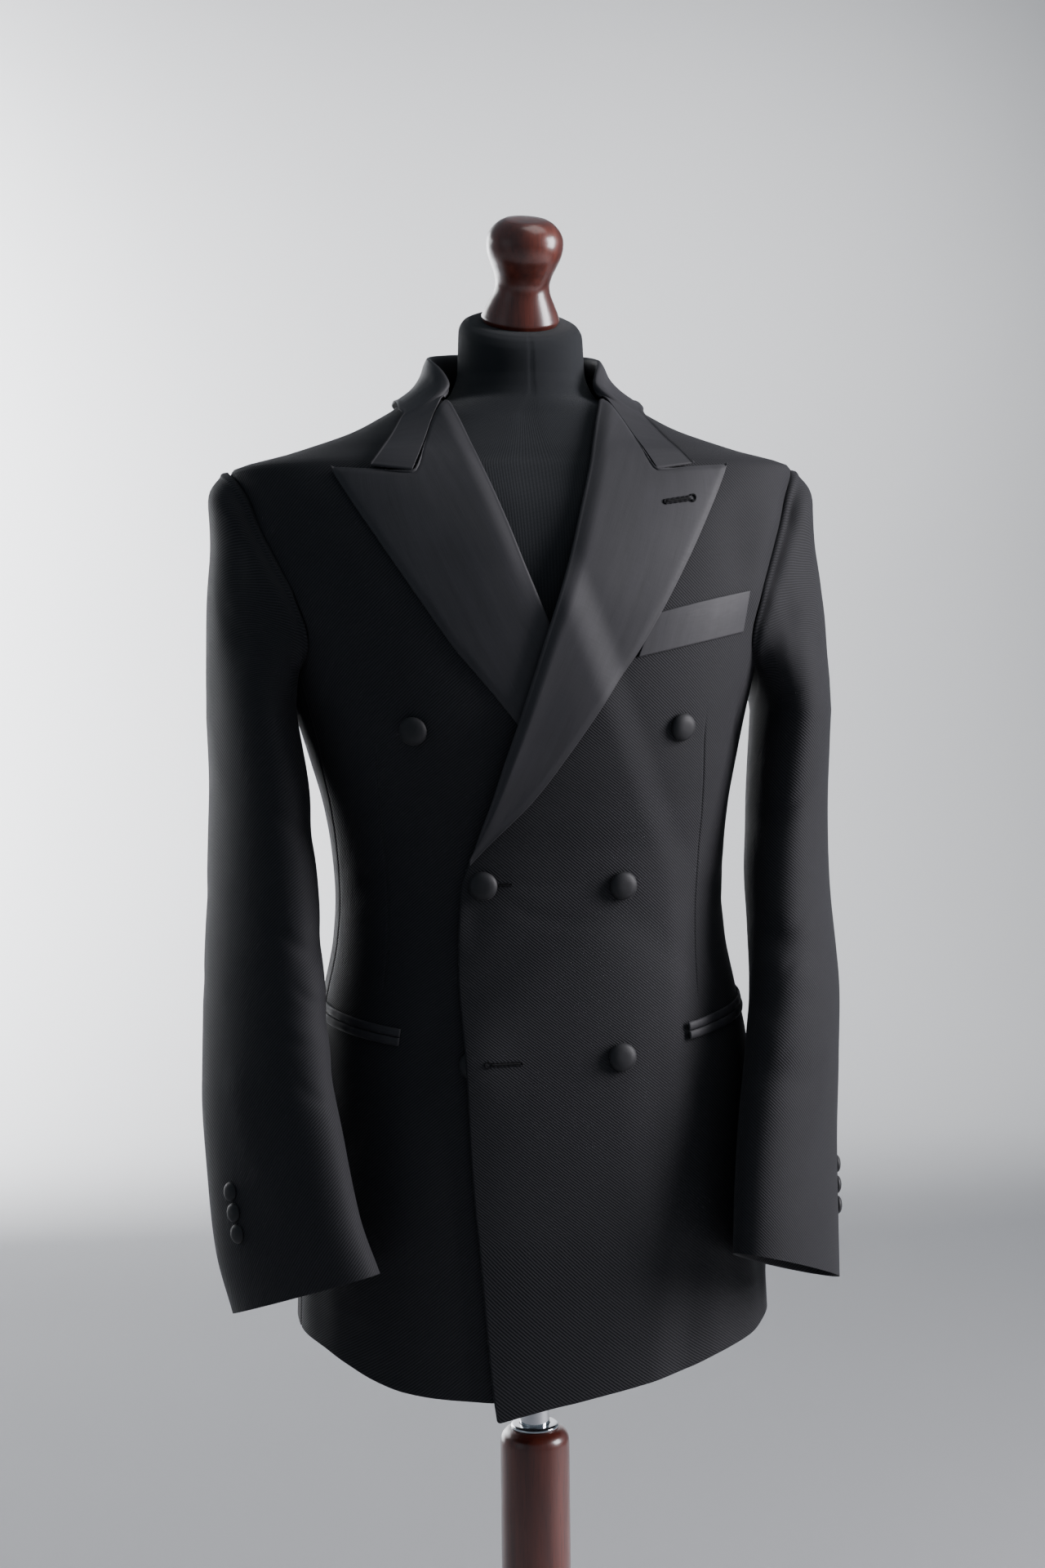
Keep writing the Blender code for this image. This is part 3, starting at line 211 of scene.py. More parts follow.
# Finer creases of the sleeves: start angle, start height, end angle, end height, half width, depth
SLEEVE_CREASES = {
    True: (
        (20.0, 1.33, 80.0, 1.29, 0.007, -0.001), (60.0, 1.18, 130.0, 1.15, 0.006, -0.001),
        (50.0, 1.085, 120.0, 1.062, 0.006, -0.0013), (70.0, 1.046, 130.0, 1.03, 0.005, -0.0012),
        (40.0, 1.02, 110.0, 1.006, 0.006, -0.001), (60.0, 0.985, 120.0, 0.962, 0.006, -0.0009),
        (20.0, 1.0, 40.0, 0.88, 0.01, 0.0007), (-20.0, 1.12, -60.0, 1.06, 0.009, -0.0009),
        (-40.0, 1.05, -80.0, 1.0, 0.009, -0.0009), (0.0, 1.3, 10.0, 1.18, 0.014, 0.0006),
    ),
    False: (
        (30.0, 1.32, 84.0, 1.28, 0.007, -0.001), (56.0, 1.172, 126.0, 1.146, 0.006, -0.0011),
        (44.0, 1.092, 118.0, 1.058, 0.006, -0.0013), (66.0, 1.04, 128.0, 1.026, 0.005, -0.0012),
        (36.0, 1.014, 104.0, 0.998, 0.006, -0.0011), (56.0, 0.978, 116.0, 0.954, 0.006, -0.0009),
        (14.0, 0.99, 34.0, 0.87, 0.01, 0.0007), (-24.0, 1.11, -64.0, 1.052, 0.009, -0.001),
        (-38.0, 1.04, -78.0, 0.994, 0.009, -0.0009), (4.0, 1.29, 14.0, 1.17, 0.014, 0.0006),
    ),
}
SLEEVE_FRONT_SEAM = 118.0
SLEEVE_BACK_SEAM = 258.0
SLEEVE_SEAM_ANGLE = 0.06
CAP_BULGE = 0.021
SLEEVE_TOP = 1.235
CUFF = 0.818

# Buttons: across, height, and whether the upper front carries it
FRONT_BUTTONS = {
    "button_top_right": (-0.0990, 1.2215, False),
    "button_top_left": (0.1000, 1.2215, True),
    "button_waist_fastened": (-0.0526, 1.1085, True),
    "button_waist_left": (0.0497, 1.1060, True),
    "button_hip_left": (0.0460, 0.9810, True),
    "button_hip_right": (-0.0620, 0.9785, False),
}
BUTTON_RADIUS = 0.0105
BUTTON_RISE = 0.0062
COVERED_BUTTON_RISE = 0.0038
BUTTON_GAP = 0.0006
UNDER_BUTTON_LIFT = 0.0032
SLEEVE_BUTTON_RADIUS = 0.0070
SLEEVE_BUTTON_RISE = 0.0045
SLEEVE_BUTTON_HEIGHTS = (0.8960, 0.8820, 0.8680)
SLEEVE_BUTTON_ANGLES = {True: -55.0, False: -15.0}

CUFF_BUTTONHOLES = (0.8960, 0.8820, 0.8680, 0.8540)
SLEEVE_ARC = 0.00092  # metres of cloth to a degree round a sleeve

# Pockets
WELT_CORNERS = ((0.0655, 1.2725), (0.1567, 1.2910), (0.1622, 1.3220), (0.0790, 1.3040))
WELT_OUT = 0.0017
WELT_WALL = 0.001
WELT_EDGE = 0.0009
WELT_CROWN = 0.0005
JET_DEPTH = 0.006
JET_OUT = 0.0022
JET_WALL = 0.0014
JET_EDGE = 0.001
JET_STARTS = {"left": (33.5, 0.9955), "right": (40.0, 0.9973)}  # turn, height
JET_END = (98.0, 1.0135)
JET_SPLIT = 0.0004
JET_SPAN = 0.016

# Darts, as the turn of a column that runs the whole height of each front: height, left, right
DART_TURNS = (
    (0.7, 37.0, 44.0), (0.9, 38.0, 46.0), (1.01, 40.7, 48.6), (1.05, 43.7, 49.4), (1.107, 46.4, 50.0),
    (1.15, 46.9, 49.8), (1.225, 41.6, 44.4), (1.3, 40.0, 43.0), (1.38, 45.0, 46.0), (1.42, 52.0, 52.0),
    (1.474, 68.0, 68.0),
)
DART_SPANS = {True: (1.004, 1.238), False: (1.014, 1.222)}
DART_SHARE = 0.55

# Dress form and stand
FORM_BOTTOM = 0.790
NECK_TOP = 1.534
NECK_SLOPE_START = 1.484
NECK_CENTRE = 0.010
NECK_SLOPE = 0.44
NECK = (
    (1.474, 0.062, 0.0525), (1.484, 0.0545, 0.0495), (1.498, 0.05, 0.048), (1.518, 0.0492, 0.048),
    (1.529, 0.0486, 0.0474), (1.5355, 0.0455, 0.044), (1.5385, 0.04, 0.038),
)
NECK_TOP_RIM = NECK[-1]
KNOB_TILT = radians(24.0)
KNOB_PROFILE = ((0.0295, 0.000), (0.0307, 0.0032), (0.0296, 0.007), (0.0260, 0.015), (0.0222, 0.024),
                (0.0212, 0.030), (0.0226, 0.037), (0.0262, 0.046), (0.0291, 0.054), (0.0300, 0.0605),
                (0.0290, 0.068), (0.0253, 0.074), (0.0204, 0.0783), (0.0170, 0.080))
POLE_RADIUS = 0.0116
RUNNING_GAP = 0.0005
POLE_BOTTOM = 0.360
SOCKET_TOP = 0.930
FLANGE_RADIUS = 0.0187
FLANGE_HEIGHT = 0.003
COLUMN_RADIUS = 0.0270
COLUMN_TOP = 0.675
COLUMN_BORE_BOTTOM = 0.235
BASE_RADIUS = 0.180
BASE_THICKNESS = 0.030


def cubic(start, end, start_slope, end_slope, step, s):
    """Point at share s of a step between two values with their slopes."""
    first = start * (1.0 + 2.0 * s) * (1.0 - s) ** 2 + start_slope * step * s * (1.0 - s) ** 2
    second = end * s * s * (3.0 - 2.0 * s) + end_slope * step * s * s * (s - 1.0)
    return first + second


def table(rows, column):
    """Monotone cubic through a table's column, by the table's first column, for arrays."""
    keys = np.array([row[0] for row in rows], float)
    values = np.array([row[column] for row in rows], float)
    steps = np.diff(keys)
    rises = np.diff(values) / steps
    slopes = np.zeros(len(keys))
    slopes[0] = rises[0]
    slopes[-1] = rises[-1]
    for i in range(1, len(keys) - 1):
        if rises[i - 1] * rises[i] > 0.0:
            before = 2.0 * steps[i] + steps[i - 1]
            after = steps[i] + 2.0 * steps[i - 1]
            slopes[i] = (before + after) / (before / rises[i - 1] + after / rises[i])

    def value(key):
        key = np.clip(np.asarray(key, float), keys[0], keys[-1])
        i = np.clip(np.searchsorted(keys, key) - 1, 0, len(keys) - 2)
        step = steps[i]
        s = (key - keys[i]) / step
        return cubic(values[i], values[i + 1], slopes[i], slopes[i + 1], step, s)

    return value


def columns(rows):
    return [table(rows, i) for i in range(1, len(rows[0]))]


half_width, front_depth, back_depth, torso_centre = columns(TORSO)
armhole_front, armhole_back = columns(ARMHOLE)
floor_rows = [row for row in ARMHOLE if row[0] <= SIDE_TOP_BACK]
floor_table = [(row[1], row[0]) for row in reversed(floor_rows)]
floor_table += [(row[2], row[0]) for row in floor_rows[1:]]
armhole_floor = table(floor_table, 1)
hem_height = table(HEM, 1)
left_hem = table(LEFT_HEM, 1)
right_hem = table(RIGHT_HEM, 1)
side_seam_front, side_seam_back = columns(SIDE_SEAMS)
roll_line = table(ROLL, 1)
front_edge = table(FRONT_EDGE, 1)
lapel_edge = table(LAPEL_EDGE, 1)
lapel_top_across, lapel_top_height = columns(LAPEL_TOP)
collar_fold, collar_edge = columns(COLLAR)
dart_left, dart_right = columns(DART_TURNS)
sleeve_left, sleeve_right, sleeve_along, *sleeve_rest = columns(SLEEVE[::-1])
sleeve_width, sleeve_depth, sleeve_twist, sleeve_rise = sleeve_rest
neck_across, neck_along = columns(NECK)


def blend(low, high, value):
    """Smooth step from 0 at low to 1 at high, which may be the smaller of the two."""
    s = np.clip((np.asarray(value, float) - low) / (high - low), 0.0, 1.0)
    return s * s * (3.0 - 2.0 * s)


def mix(a, b, share):
    return a + (b - a) * share


def turn_distance(a, b):
    return (a - b + 180.0) % 360.0 - 180.0


def unit(vectors):
    return vectors / np.maximum(np.linalg.norm(vectors, axis=-1, keepdims=True), 1e-12)


def stacked(x, y, z):
    return np.stack(np.broadcast_arrays(x, y, z), axis=-1)


def run_along(points, axis):
    """Length run since the first point, along one axis of a grid or path."""
    run = np.cumsum(np.linalg.norm(np.diff(points, axis=axis), axis=-1), axis=axis)
    return np.concatenate((np.zeros_like(np.take(run, [0], axis=axis)), run), axis=axis)


def folds(turn, height, rows):
    """How far soft folds move cloth out, their slant in metres to a degree."""
    out = np.zeros(np.broadcast(turn, height).shape)
    for fold_turn, fold_height, half_turn, half_height, slant, depth in rows:
        across = turn_distance(turn, fold_turn)
        up = (height - fold_height - slant * across) / half_height
        out = out + depth * np.exp(-(across / half_turn) ** 2 - up ** 2)
    return out


def creases(turn, height, rows, metres_a_degree):
    """Troughs and ridges along short slanted lines, soft across and at both ends."""
    out = np.zeros(np.broadcast(turn, height).shape)
    for start_turn, start_height, end_turn, end_height, half, depth in rows:
        along_turn = turn_distance(end_turn, start_turn) * metres_a_degree
        along_height = end_height - start_height
        length = np.hypot(along_turn, along_height)
        x = turn_distance(turn, start_turn) * metres_a_degree
        y = height - start_height
        along = (x * along_turn + y * along_height) / length
        bow = 0.10 * length * np.sin(np.clip(along / length, 0.0, 1.0) * pi)
        aside = (x * along_height - y * along_turn) / length - bow
        beyond = np.maximum(np.abs(along - length / 2.0) - length * 0.25, 0.0) / (length * 0.22)
        out = out + depth * np.exp(-(aside / half) ** 2 - beyond ** 2)
    return out


def bare(turn, height):
    """Points of the torso surface: turn in degrees, 0 at the front and 90 at the wearer's left."""
    turn, height = np.broadcast_arrays(np.asarray(turn, float), np.asarray(height, float))
    angle = np.radians(turn)
    power = 2.0 / SQUARENESS
    s = np.sin(angle)
    c = np.cos(angle)
    x = half_width(height) * np.abs(s) ** power * np.sign(s)
    depth = np.where(c >= 0.0, front_depth(height), back_depth(height))
    y = torso_centre(height) - depth * np.abs(c) ** power * np.where(c >= 0.0, 1.0, -1.0)
    z = height + SHOULDER_TILT * x * blend(*TILT_SPAN, height)
    return np.stack((x + SHOULDER_SHIFT * blend(*SHIFT_SPAN, height), y, z), axis=-1)


def torso_normal(turn, height):
    up = bare(turn, height + 0.0008) - bare(turn, height - 0.0008)
    around = bare(turn + 0.6, height) - bare(turn - 0.6, height)
    return unit(np.cross(around, up))


def torso_points(turn, height, out=0.0):
    turn, height, out = np.broadcast_arrays(turn, height, out)
    move = out + folds(turn, height, BODY_FOLDS) + creases(turn, height, BODY_CREASES, BODY_ARC)
    return bare(turn, height) + torso_normal(turn, height) * move[..., None]


def turn_at(across, height):
    """Turn of a point of the front by how far across it lies."""
    share = np.minimum(np.abs(across) / half_width(height), 1.0)
    return np.sign(across) * np.degrees(np.arcsin(share ** (SQUARENESS / 2.0)))


def shift_turn(turn, height, distance):
    """Turn moved on by a distance in metres round the body."""
    rate = np.linalg.norm(bare(turn + 1.0, height) - bare(turn - 1.0, height), axis=-1) / 2.0
    return turn + distance / rate


def front_opening(row):
    """Across of the left front's free edge and roll line."""
    return np.where(row < BREAK_HEIGHT, front_edge(row), roll_line(np.minimum(row, ROLL[-1][0])))


def overlap_lift(across, height):
    """How far the upper front stands out, over the under front and its lapel."""
    lift = mix(LOW_LIFT, HIGH_LIFT, blend(BREAK_HEIGHT, BREAK_HEIGHT + 0.040, height))
    lift = lift * blend(LIFT_END, LIFT_END - 0.090, height)
    button_across, button_height, _ = FRONT_BUTTONS["button_hip_right"]
    near = ((across - button_across) / 0.026) ** 2 + ((height - button_height) / 0.030) ** 2
    beyond = across + front_opening(height)
    return lift * blend(OVERLAP_END, OVERLAP_START, beyond) + UNDER_BUTTON_LIFT * np.exp(-near)


def edge_drop(distance, radius):
    """How far a turned edge rounds down, by the distance from it."""
    inside = np.clip(radius - distance, 0.0, radius)
    return radius - np.sqrt(radius ** 2 - inside ** 2)


def seam_drop(distance, depth=0.0007, half=0.0014):
    """Depth of a seam's or dart's soft groove, by the distance from it."""
    return depth * np.exp(-(distance / half) ** 2)


def turned_ridge(distance, turned):
    """Low ridge where the cloth that is turned up inside ends."""
    return TURN_RIDGE * np.exp(-((distance - turned) / 0.004) ** 2)


EDGE_MARKS = (0.0, 0.0002, 0.0005, 0.0009, 0.0015, 0.0023, 0.0034)


def spaced(length, step, stops=()):
    """Shares of a length about a step apart, and closer at both ends and beside the stops."""
    close = []
    for stop in (0.0, 1.0) + tuple(stops):
        for mark in EDGE_MARKS:
            for side in (-1.0, 1.0):
                share = stop + side * mark / length
                if 0.0 <= share <= 1.0:
                    close.append(share)
    close = np.unique(np.round(close, 7))
    free = np.linspace(0.0, 1.0, int(length / step) + 1)
    apart = np.min(np.abs(free[:, None] - close[None, :]), axis=1)
    return np.sort(np.concatenate((close, free[apart > 0.45 * step / length])))


def levels(low, high, step):
    """Heights about a step apart, and closer at the turned edge at the foot."""
    rows = np.linspace(low, high, int((high - low) / step) + 1)
    close = np.unique(np.round([low + mark for mark in EDGE_MARKS], 7))
    apart = np.min(np.abs(rows[:, None] - close[None, :]), axis=1)
    return np.sort(np.concatenate((close, rows[apart > 0.45 * step])))


def grid_normals(points):
    return unit(np.cross(np.gradient(points, axis=1), np.gradient(points, axis=0)))


def cloth_map(points):
    """Flat coordinates in metres: along each row from the grid's middle, and up its middle column."""
    across = run_along(points, 1)
    middle = points.shape[1] // 2
    across = across - across[:, middle:middle + 1]
    up = run_along(points[:, middle], 0)
    return np.stack((across, np.broadcast_to(up[:, None], across.shape)), axis=-1)


def grid_quads(index, closed=False):
    """Faces between a grid's points; in a closed grid the last column also joins the first."""
    start = index if closed else index[:, :-1]
    end = np.roll(index, -1, axis=1) if closed else index[:, 1:]
    return np.stack((start[:-1], end[:-1], end[1:], start[1:]), axis=-1).reshape(-1, 4)


def make_mesh(name, vertices, quads, flat_map, material, sharp=None):
    mesh = bpy.data.meshes.new(name)
    mesh.vertices.add(len(vertices))
    mesh.vertices.foreach_set("co", np.asarray(vertices, np.float32).ravel())
    quads = np.asarray(quads, np.int32)
    mesh.loops.add(quads.size)
    mesh.loops.foreach_set("vertex_index", quads.ravel())
    mesh.polygons.add(len(quads))
    mesh.polygons.foreach_set("loop_start", np.arange(0, quads.size, 4, dtype=np.int32))
    mesh.polygons.foreach_set("loop_total", np.full(len(quads), 4, np.int32))
    mesh.update(calc_edges=True)
    mesh.validate()
    layer = mesh.uv_layers.new(name="flat")
    layer.data.foreach_set("uv", np.asarray(flat_map, np.float32)[quads.ravel()].ravel())
    mesh.shade_smooth()
    if sharp:
        mesh.set_sharp_from_angle(angle=radians(sharp))
    thing = bpy.data.objects.new(name, mesh)
    bpy.context.scene.collection.objects.link(thing)
    mesh.materials.append(material)
    return thing


def shell(name, outer, inner, material, flat_map=None):
    """Closed thin shell between two grids, with a rim round the edges."""
    rows, columns = outer.shape[:2]
    count = rows * columns
    index = np.arange(count).reshape(rows, columns)
    side = np.dot(np.cross(outer[0, 1] - outer[0, 0], outer[1, 0] - outer[0, 0]), outer[0, 0] - inner[0, 0])
    front = grid_quads(index)
    back = front[:, [0, 3, 2, 1]] + count
    ring = np.concatenate((index[0, :], index[1:, -1], index[-1, -2::-1], index[-2:0:-1, 0]))
    after = np.roll(ring, -1)
    rim = np.stack((after, ring, ring + count, after + count), axis=-1)
    quads = np.concatenate((front, back, rim))
    if side < 0.0:
        quads = quads[:, ::-1]
    vertices = np.concatenate((outer.reshape(-1, 3), inner.reshape(-1, 3)))
    if flat_map is None:
        flat_map = cloth_map(outer)
    flat = flat_map.reshape(-1, 2)
    return make_mesh(name, vertices, quads, np.concatenate((flat, flat)), material)


def declare(thing, body, solid=None):
    """The body that a piece rides on, and the solid that it takes the place of."""
    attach(thing, body)
    if solid:
        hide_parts(solid)
    return thing


NARROWEST_CUT = 0.010  # a jet is cut wider than the lip that shows


def cloth_piece(name, outer, inner, material, flat_map=None):
    """A cloth shell in place of its solid, riding on the bust, with the width, length and area of what shows
    worked out and not used further.
    """
    thing = shell(name + "_cloth", outer, inner, material, flat_map)
    declare(thing, "bust", name)
    across = run_along(outer, 1)[:, -1]
    up = run_along(outer, 0)[-1]
    one = np.cross(outer[:-1, 1:] - outer[:-1, :-1], outer[1:, :-1] - outer[:-1, :-1])
    two = np.cross(outer[:-1, 1:] - outer[1:, 1:], outer[1:, :-1] - outer[1:, 1:])
    area = (np.linalg.norm(one, axis=2).sum() + np.linalg.norm(two, axis=2).sum()) / 2.0
    width = round(float(across.max()), 3)
    length = max(round(float(up.max()), 3), NARROWEST_CUT)
    area = min(round(float(area), 4), width * length)
    return thing


def lay_on_body(name, turn, height, out, relief, wall, material):
    """A cloth piece on the torso's surface, out from it, with its relief cut in and its wall behind."""
    outer = torso_points(turn, height, out - relief)
    inner = torso_points(turn, height, out - wall)
    cloth_piece(name, outer, inner, material)


# Materials
def node(tree, kind, inputs=(), **settings):
    made = tree.nodes.new(kind)
    for key, value in settings.items():
        setattr(made, key, value)
    for key, value in dict(inputs).items():
        if isinstance(value, bpy.types.NodeSocket):
            tree.links.new(value, made.inputs[key])
        else:
            made.inputs[key].default_value = value
    return made


def new_material(name, roughness, metallic=0.0):
    material = bpy.data.materials.new(name)
    material.use_nodes = True
    tree = material.node_tree
    shader = tree.nodes["Principled BSDF"]
    shader.inputs["Roughness"].default_value = roughness
    shader.inputs["Metallic"].default_value = metallic
    return material, tree, shader


def flat_place(tree):
    return node(tree, "ShaderNodeUVMap", uv_map="flat").outputs["UV"]


def own_place(tree):
    return node(tree, "ShaderNodeTexCoord").outputs["Object"]


def maths(tree, operation, *values):
    return node(tree, "ShaderNodeMath", dict(enumerate(values)), operation=operation).outputs[0]


def times(tree, first, second):
    return maths(tree, "MULTIPLY", first, second)


def plus(tree, first, second):
    return maths(tree, "ADD", first, second)


def wave(tree, flat, direction, period):
    """Sine along a direction of the flat map, from 0 to 1."""
    dot = node(tree, "ShaderNodeVectorMath", {0: flat, 1: direction}, operation="DOT_PRODUCT")
    turned = times(tree, dot.outputs["Value"], 2.0 * pi / period)
    return maths(tree, "MULTIPLY_ADD", maths(tree, "SINE", turned), 0.5, 0.5)


def dress(tree, shader, colour, constants, rough=None, spread=0.0, lowest=0.0):
    """Colour and varied roughness from sockets, and constants for the shader's other sockets."""
    tree.links.new(colour, shader.inputs["Base Color"])
    for name, value in constants.items():
        shader.inputs[name].default_value = value
    if rough is not None:
        tree.links.new(maths(tree, "MULTIPLY_ADD", rough, spread, lowest), shader.inputs["Roughness"])


def noise(tree, vector, scale, detail=3.0, roughness=0.5):
    made = node(tree, "ShaderNodeTexNoise", {"Vector": vector, "Scale": scale, "Detail": detail,
                                             "Roughness": roughness})
    return made.outputs["Fac"]


def ramp(tree, factor, stops):
    made = node(tree, "ShaderNodeValToRGB", {"Fac": factor})
    elements = made.color_ramp.elements
    for i, (position, colour) in enumerate(stops):
        element = elements[i] if i < 2 else elements.new(position)
        element.position = position
        element.color = (*colour, 1.0)
    return made.outputs["Color"]


def blend_colour(tree, factor, first, second, kind="MIX"):
    made = node(tree, "ShaderNodeMix", data_type="RGBA", blend_type=kind)
    for key, value in ((0, factor), (6, first), (7, second)):
        if isinstance(value, bpy.types.NodeSocket):
            tree.links.new(value, made.inputs[key])
        else:
            made.inputs[key].default_value = value if key == 0 else (*value, 1.0)
    return made.outputs[2]


def stretch(tree, vector, scale):
    return node(tree, "ShaderNodeMapping", {"Vector": vector, "Scale": scale}).outputs["Vector"]


def bump(tree, shader, height, strength, distance, before=None):
    made = node(tree, "ShaderNodeBump", {"Height": height, "Strength": strength, "Distance": distance})
    if before is not None:
        tree.links.new(before, made.inputs["Normal"])
    tree.links.new(made.outputs["Normal"], shader.inputs["Normal"])
    return made.outputs["Normal"]


def make_wool():
    """Fine diagonal twill in near-black worsted, with slightly paler and darker threads."""
    material, tree, shader = new_material("wool_twill", 0.78)
    flat = flat_place(tree)
    drift = noise(tree, flat, 60.0, 2.0)
    twill = wave(tree, flat, (0.80, 1.0, 0.0), 0.0022)
    fleck = noise(tree, stretch(tree, flat, (900.0, 420.0, 1.0)), 1.0, 2.0)
    cloud = noise(tree, flat, 14.0, 3.0)
    base = ramp(tree, twill, ((0.20, (0.0032, 0.0036, 0.0048)), (0.80, (0.0250, 0.0242, 0.0290))))
    flecked = blend_colour(tree, times(tree, fleck, 0.55), base, (0.0240, 0.0235, 0.0262))
    shade = ramp(tree, plus(tree, times(tree, cloud, 0.6), times(tree, drift, 0.4)),
                 ((0.30, (0.86, 0.86, 0.87)), (0.70, (1.0, 1.0, 1.0))))
    colour = blend_colour(tree, 1.0, flecked, shade, "MULTIPLY")
    constants = {"Sheen Weight": 0.04, "Sheen Roughness": 0.45, "Specular IOR Level": 0.28}
    dress(tree, shader, colour, constants, fleck, 0.16, 0.68)
    wide = bump(tree, shader, cloud, 0.25, 0.0012)
    bump(tree, shader, plus(tree, twill, times(tree, fleck, 0.5)), 0.55, 0.00034, wide)
    return material


def make_satin(name, dark, light, roughness):
    """Silk satin: smooth, with long fine threads and faint crossing streaks."""
    material, tree, shader = new_material(name, roughness)
    flat = flat_place(tree)
    long_threads = noise(tree, stretch(tree, flat, (2600.0, 60.0, 1.0)), 1.0, 2.0)
    cross = noise(tree, stretch(tree, flat, (90.0, 700.0, 1.0)), 1.0, 2.0)
    streak = noise(tree, stretch(tree, flat, (110.0, 7.0, 1.0)), 1.0, 3.0)
    cloud = noise(tree, flat, 20.0, 2.0)
    together = plus(tree, times(tree, long_threads, 0.35), times(tree, streak, 0.40))
    together = plus(tree, together, times(tree, cloud, 0.25))
    colour = ramp(tree, together, ((0.32, dark), (0.68, light)))
    constants = {"Specular IOR Level": 0.42, "Sheen Weight": 0.10, "Sheen Roughness": 0.30}
    dress(tree, shader, colour, constants, cross, 0.10, roughness - 0.05)
    wide = bump(tree, shader, plus(tree, cloud, times(tree, streak, 0.5)), 0.22, 0.0010)
    bump(tree, shader, plus(tree, long_threads, cross), 0.20, 0.00012, wide)
    return material


def make_jersey():
    material, tree, shader = new_material("black_jersey", 0.90)
    flat = flat_place(tree)
    wale = wave(tree, flat, (1.0, 0.0, 0.0), 0.0011)
    course = wave(tree, flat, (0.15, 1.0, 0.0), 0.0008)
    fuzz = noise(tree, flat, 1800.0, 2.0)
    cloud = noise(tree, flat, 18.0, 3.0)
    knit = times(tree, wale, plus(tree, course, 0.4))
    base = ramp(tree, knit, ((0.1, (0.0070, 0.0085, 0.0108)), (0.9, (0.0150, 0.0172, 0.0208))))
    colour = blend_colour(tree, times(tree, fuzz, 0.4), base, (0.021, 0.0225, 0.0260))
    constants = {"Sheen Weight": 0.12, "Sheen Roughness": 0.5, "Specular IOR Level": 0.25}
    dress(tree, shader, colour, constants, cloud, 0.12, 0.82)
    bump(tree, shader, plus(tree, knit, fuzz), 0.4, 0.00025)
    return material


def make_mahogany():
    """Red-brown stained wood under a clear varnish, its grain along the turning's axis."""
    material, tree, shader = new_material("varnished_mahogany", 0.34)
    place = own_place(tree)
    grain_space = stretch(tree, place, (34.0, 34.0, 3.2))
    warp = noise(tree, grain_space, 1.3, 3.0)
    grain = noise(tree, stretch(tree, place, (260.0, 260.0, 9.0)), 1.0, 4.0, 0.6)
    pores = noise(tree, stretch(tree, place, (900.0, 900.0, 45.0)), 1.0, 2.0)
    bands = ramp(tree, warp, ((0.30, (0.060, 0.0100, 0.0060)), (0.70, (0.170, 0.0300, 0.0150))))
    fine = ramp(tree, grain, ((0.35, (0.62, 0.58, 0.56)), (0.66, (1.0, 1.0, 1.0))))
    colour = blend_colour(tree, 0.75, bands, fine, "MULTIPLY")
    dots = ramp(tree, pores, ((0.30, (0.45, 0.40, 0.40)), (0.42, (1.0, 1.0, 1.0))))
    colour = blend_colour(tree, 0.6, colour, dots, "MULTIPLY")
    constants = {"Coat Weight": 1.0, "Coat Roughness": 0.20, "Coat IOR": 1.5}
    dress(tree, shader, colour, constants, grain, 0.15, 0.28)
    bump(tree, shader, grain, 0.10, 0.0002)
    return material


def make_chrome():
    material, tree, shader = new_material("polished_chrome", 0.10, 1.0)
    place = own_place(tree)
    lines = noise(tree, stretch(tree, place, (60.0, 60.0, 1400.0)), 1.0, 2.0)
    cloud = noise(tree, place, 30.0, 3.0)
    colour = ramp(tree, cloud, ((0.3, (0.62, 0.63, 0.66)), (0.7, (0.78, 0.79, 0.81))))
    dress(tree, shader, colour, {}, lines, 0.10, 0.06)
    bump(tree, shader, lines, 0.03, 0.0001)
    return material


def make_thread():
    material, tree, shader = new_material("black_thread", 0.6)
    flat = flat_place(tree)
    twist = wave(tree, flat, (1.0, 0.6, 0.0), 0.0006)
    colour = ramp(tree, twist, ((0.2, (0.004, 0.004, 0.005)), (0.9, (0.013, 0.013, 0.015))))
    dress(tree, shader, colour, {"Specular IOR Level": 0.10})
    bump(tree, shader, twist, 0.5, 0.0002)
    return material


def make_plain(name, colour, roughness):
    material, tree, shader = new_material(name, roughness)
    place = own_place(tree)
    cloud = noise(tree, place, 1.5, 2.0)
    shade = ramp(tree, cloud, ((0.3, tuple(0.985 * c for c in colour)), (0.7, colour)))
    dress(tree, shader, shade, {})
    return material


WOOL = make_wool()
SATIN = make_satin("lapel_satin", (0.0200, 0.0194, 0.0225), (0.0350, 0.0332, 0.0385), 0.62)
BUTTON_SATIN = make_satin("button_satin", (0.0095, 0.0095, 0.0115), (0.0180, 0.0176, 0.0200), 0.58)
JERSEY = make_jersey()
MAHOGANY = make_mahogany()
CHROME = make_chrome()
THREAD = make_thread()
# Near-black colour for the buttonhole slits: painted shade standing in for the dark opening between the lips
SLIT_SHADE = make_plain("dark_slit", (0.002, 0.002, 0.0025), 0.95)


# Body panels
BODY_STEP = 0.0034


def on_hem(row, hem):
    """Height of a row of the grid once the hem has its own line."""
    ease = np.clip((HEM_EASE_TOP - row) / (HEM_EASE_TOP - BASE_HEM), 0.0, 1.0)
    return row + (hem - BASE_HEM) * ease


def panel_side(row, back):
    """Turn of a front's or back's side edge at each height."""
    if back:
        turn = np.where(row < SIDE_TOP_BACK, side_seam_back(row), armhole_back(row))
    else:
        turn = np.where(row < SIDE_TOP_FRONT, side_seam_front(row), armhole_front(row))
    turn = np.where(row < SHOULDER_HEIGHT, turn, 90.0)
    return shift_turn(turn, row, SEAM_GAP / 2.0 * (1.0 if back else -1.0))


def panel_edges(points):
    """Distance of each point from its row's first and last point, along the row."""
    start = run_along(points, 1)
    return start, start[:, -1:] - start


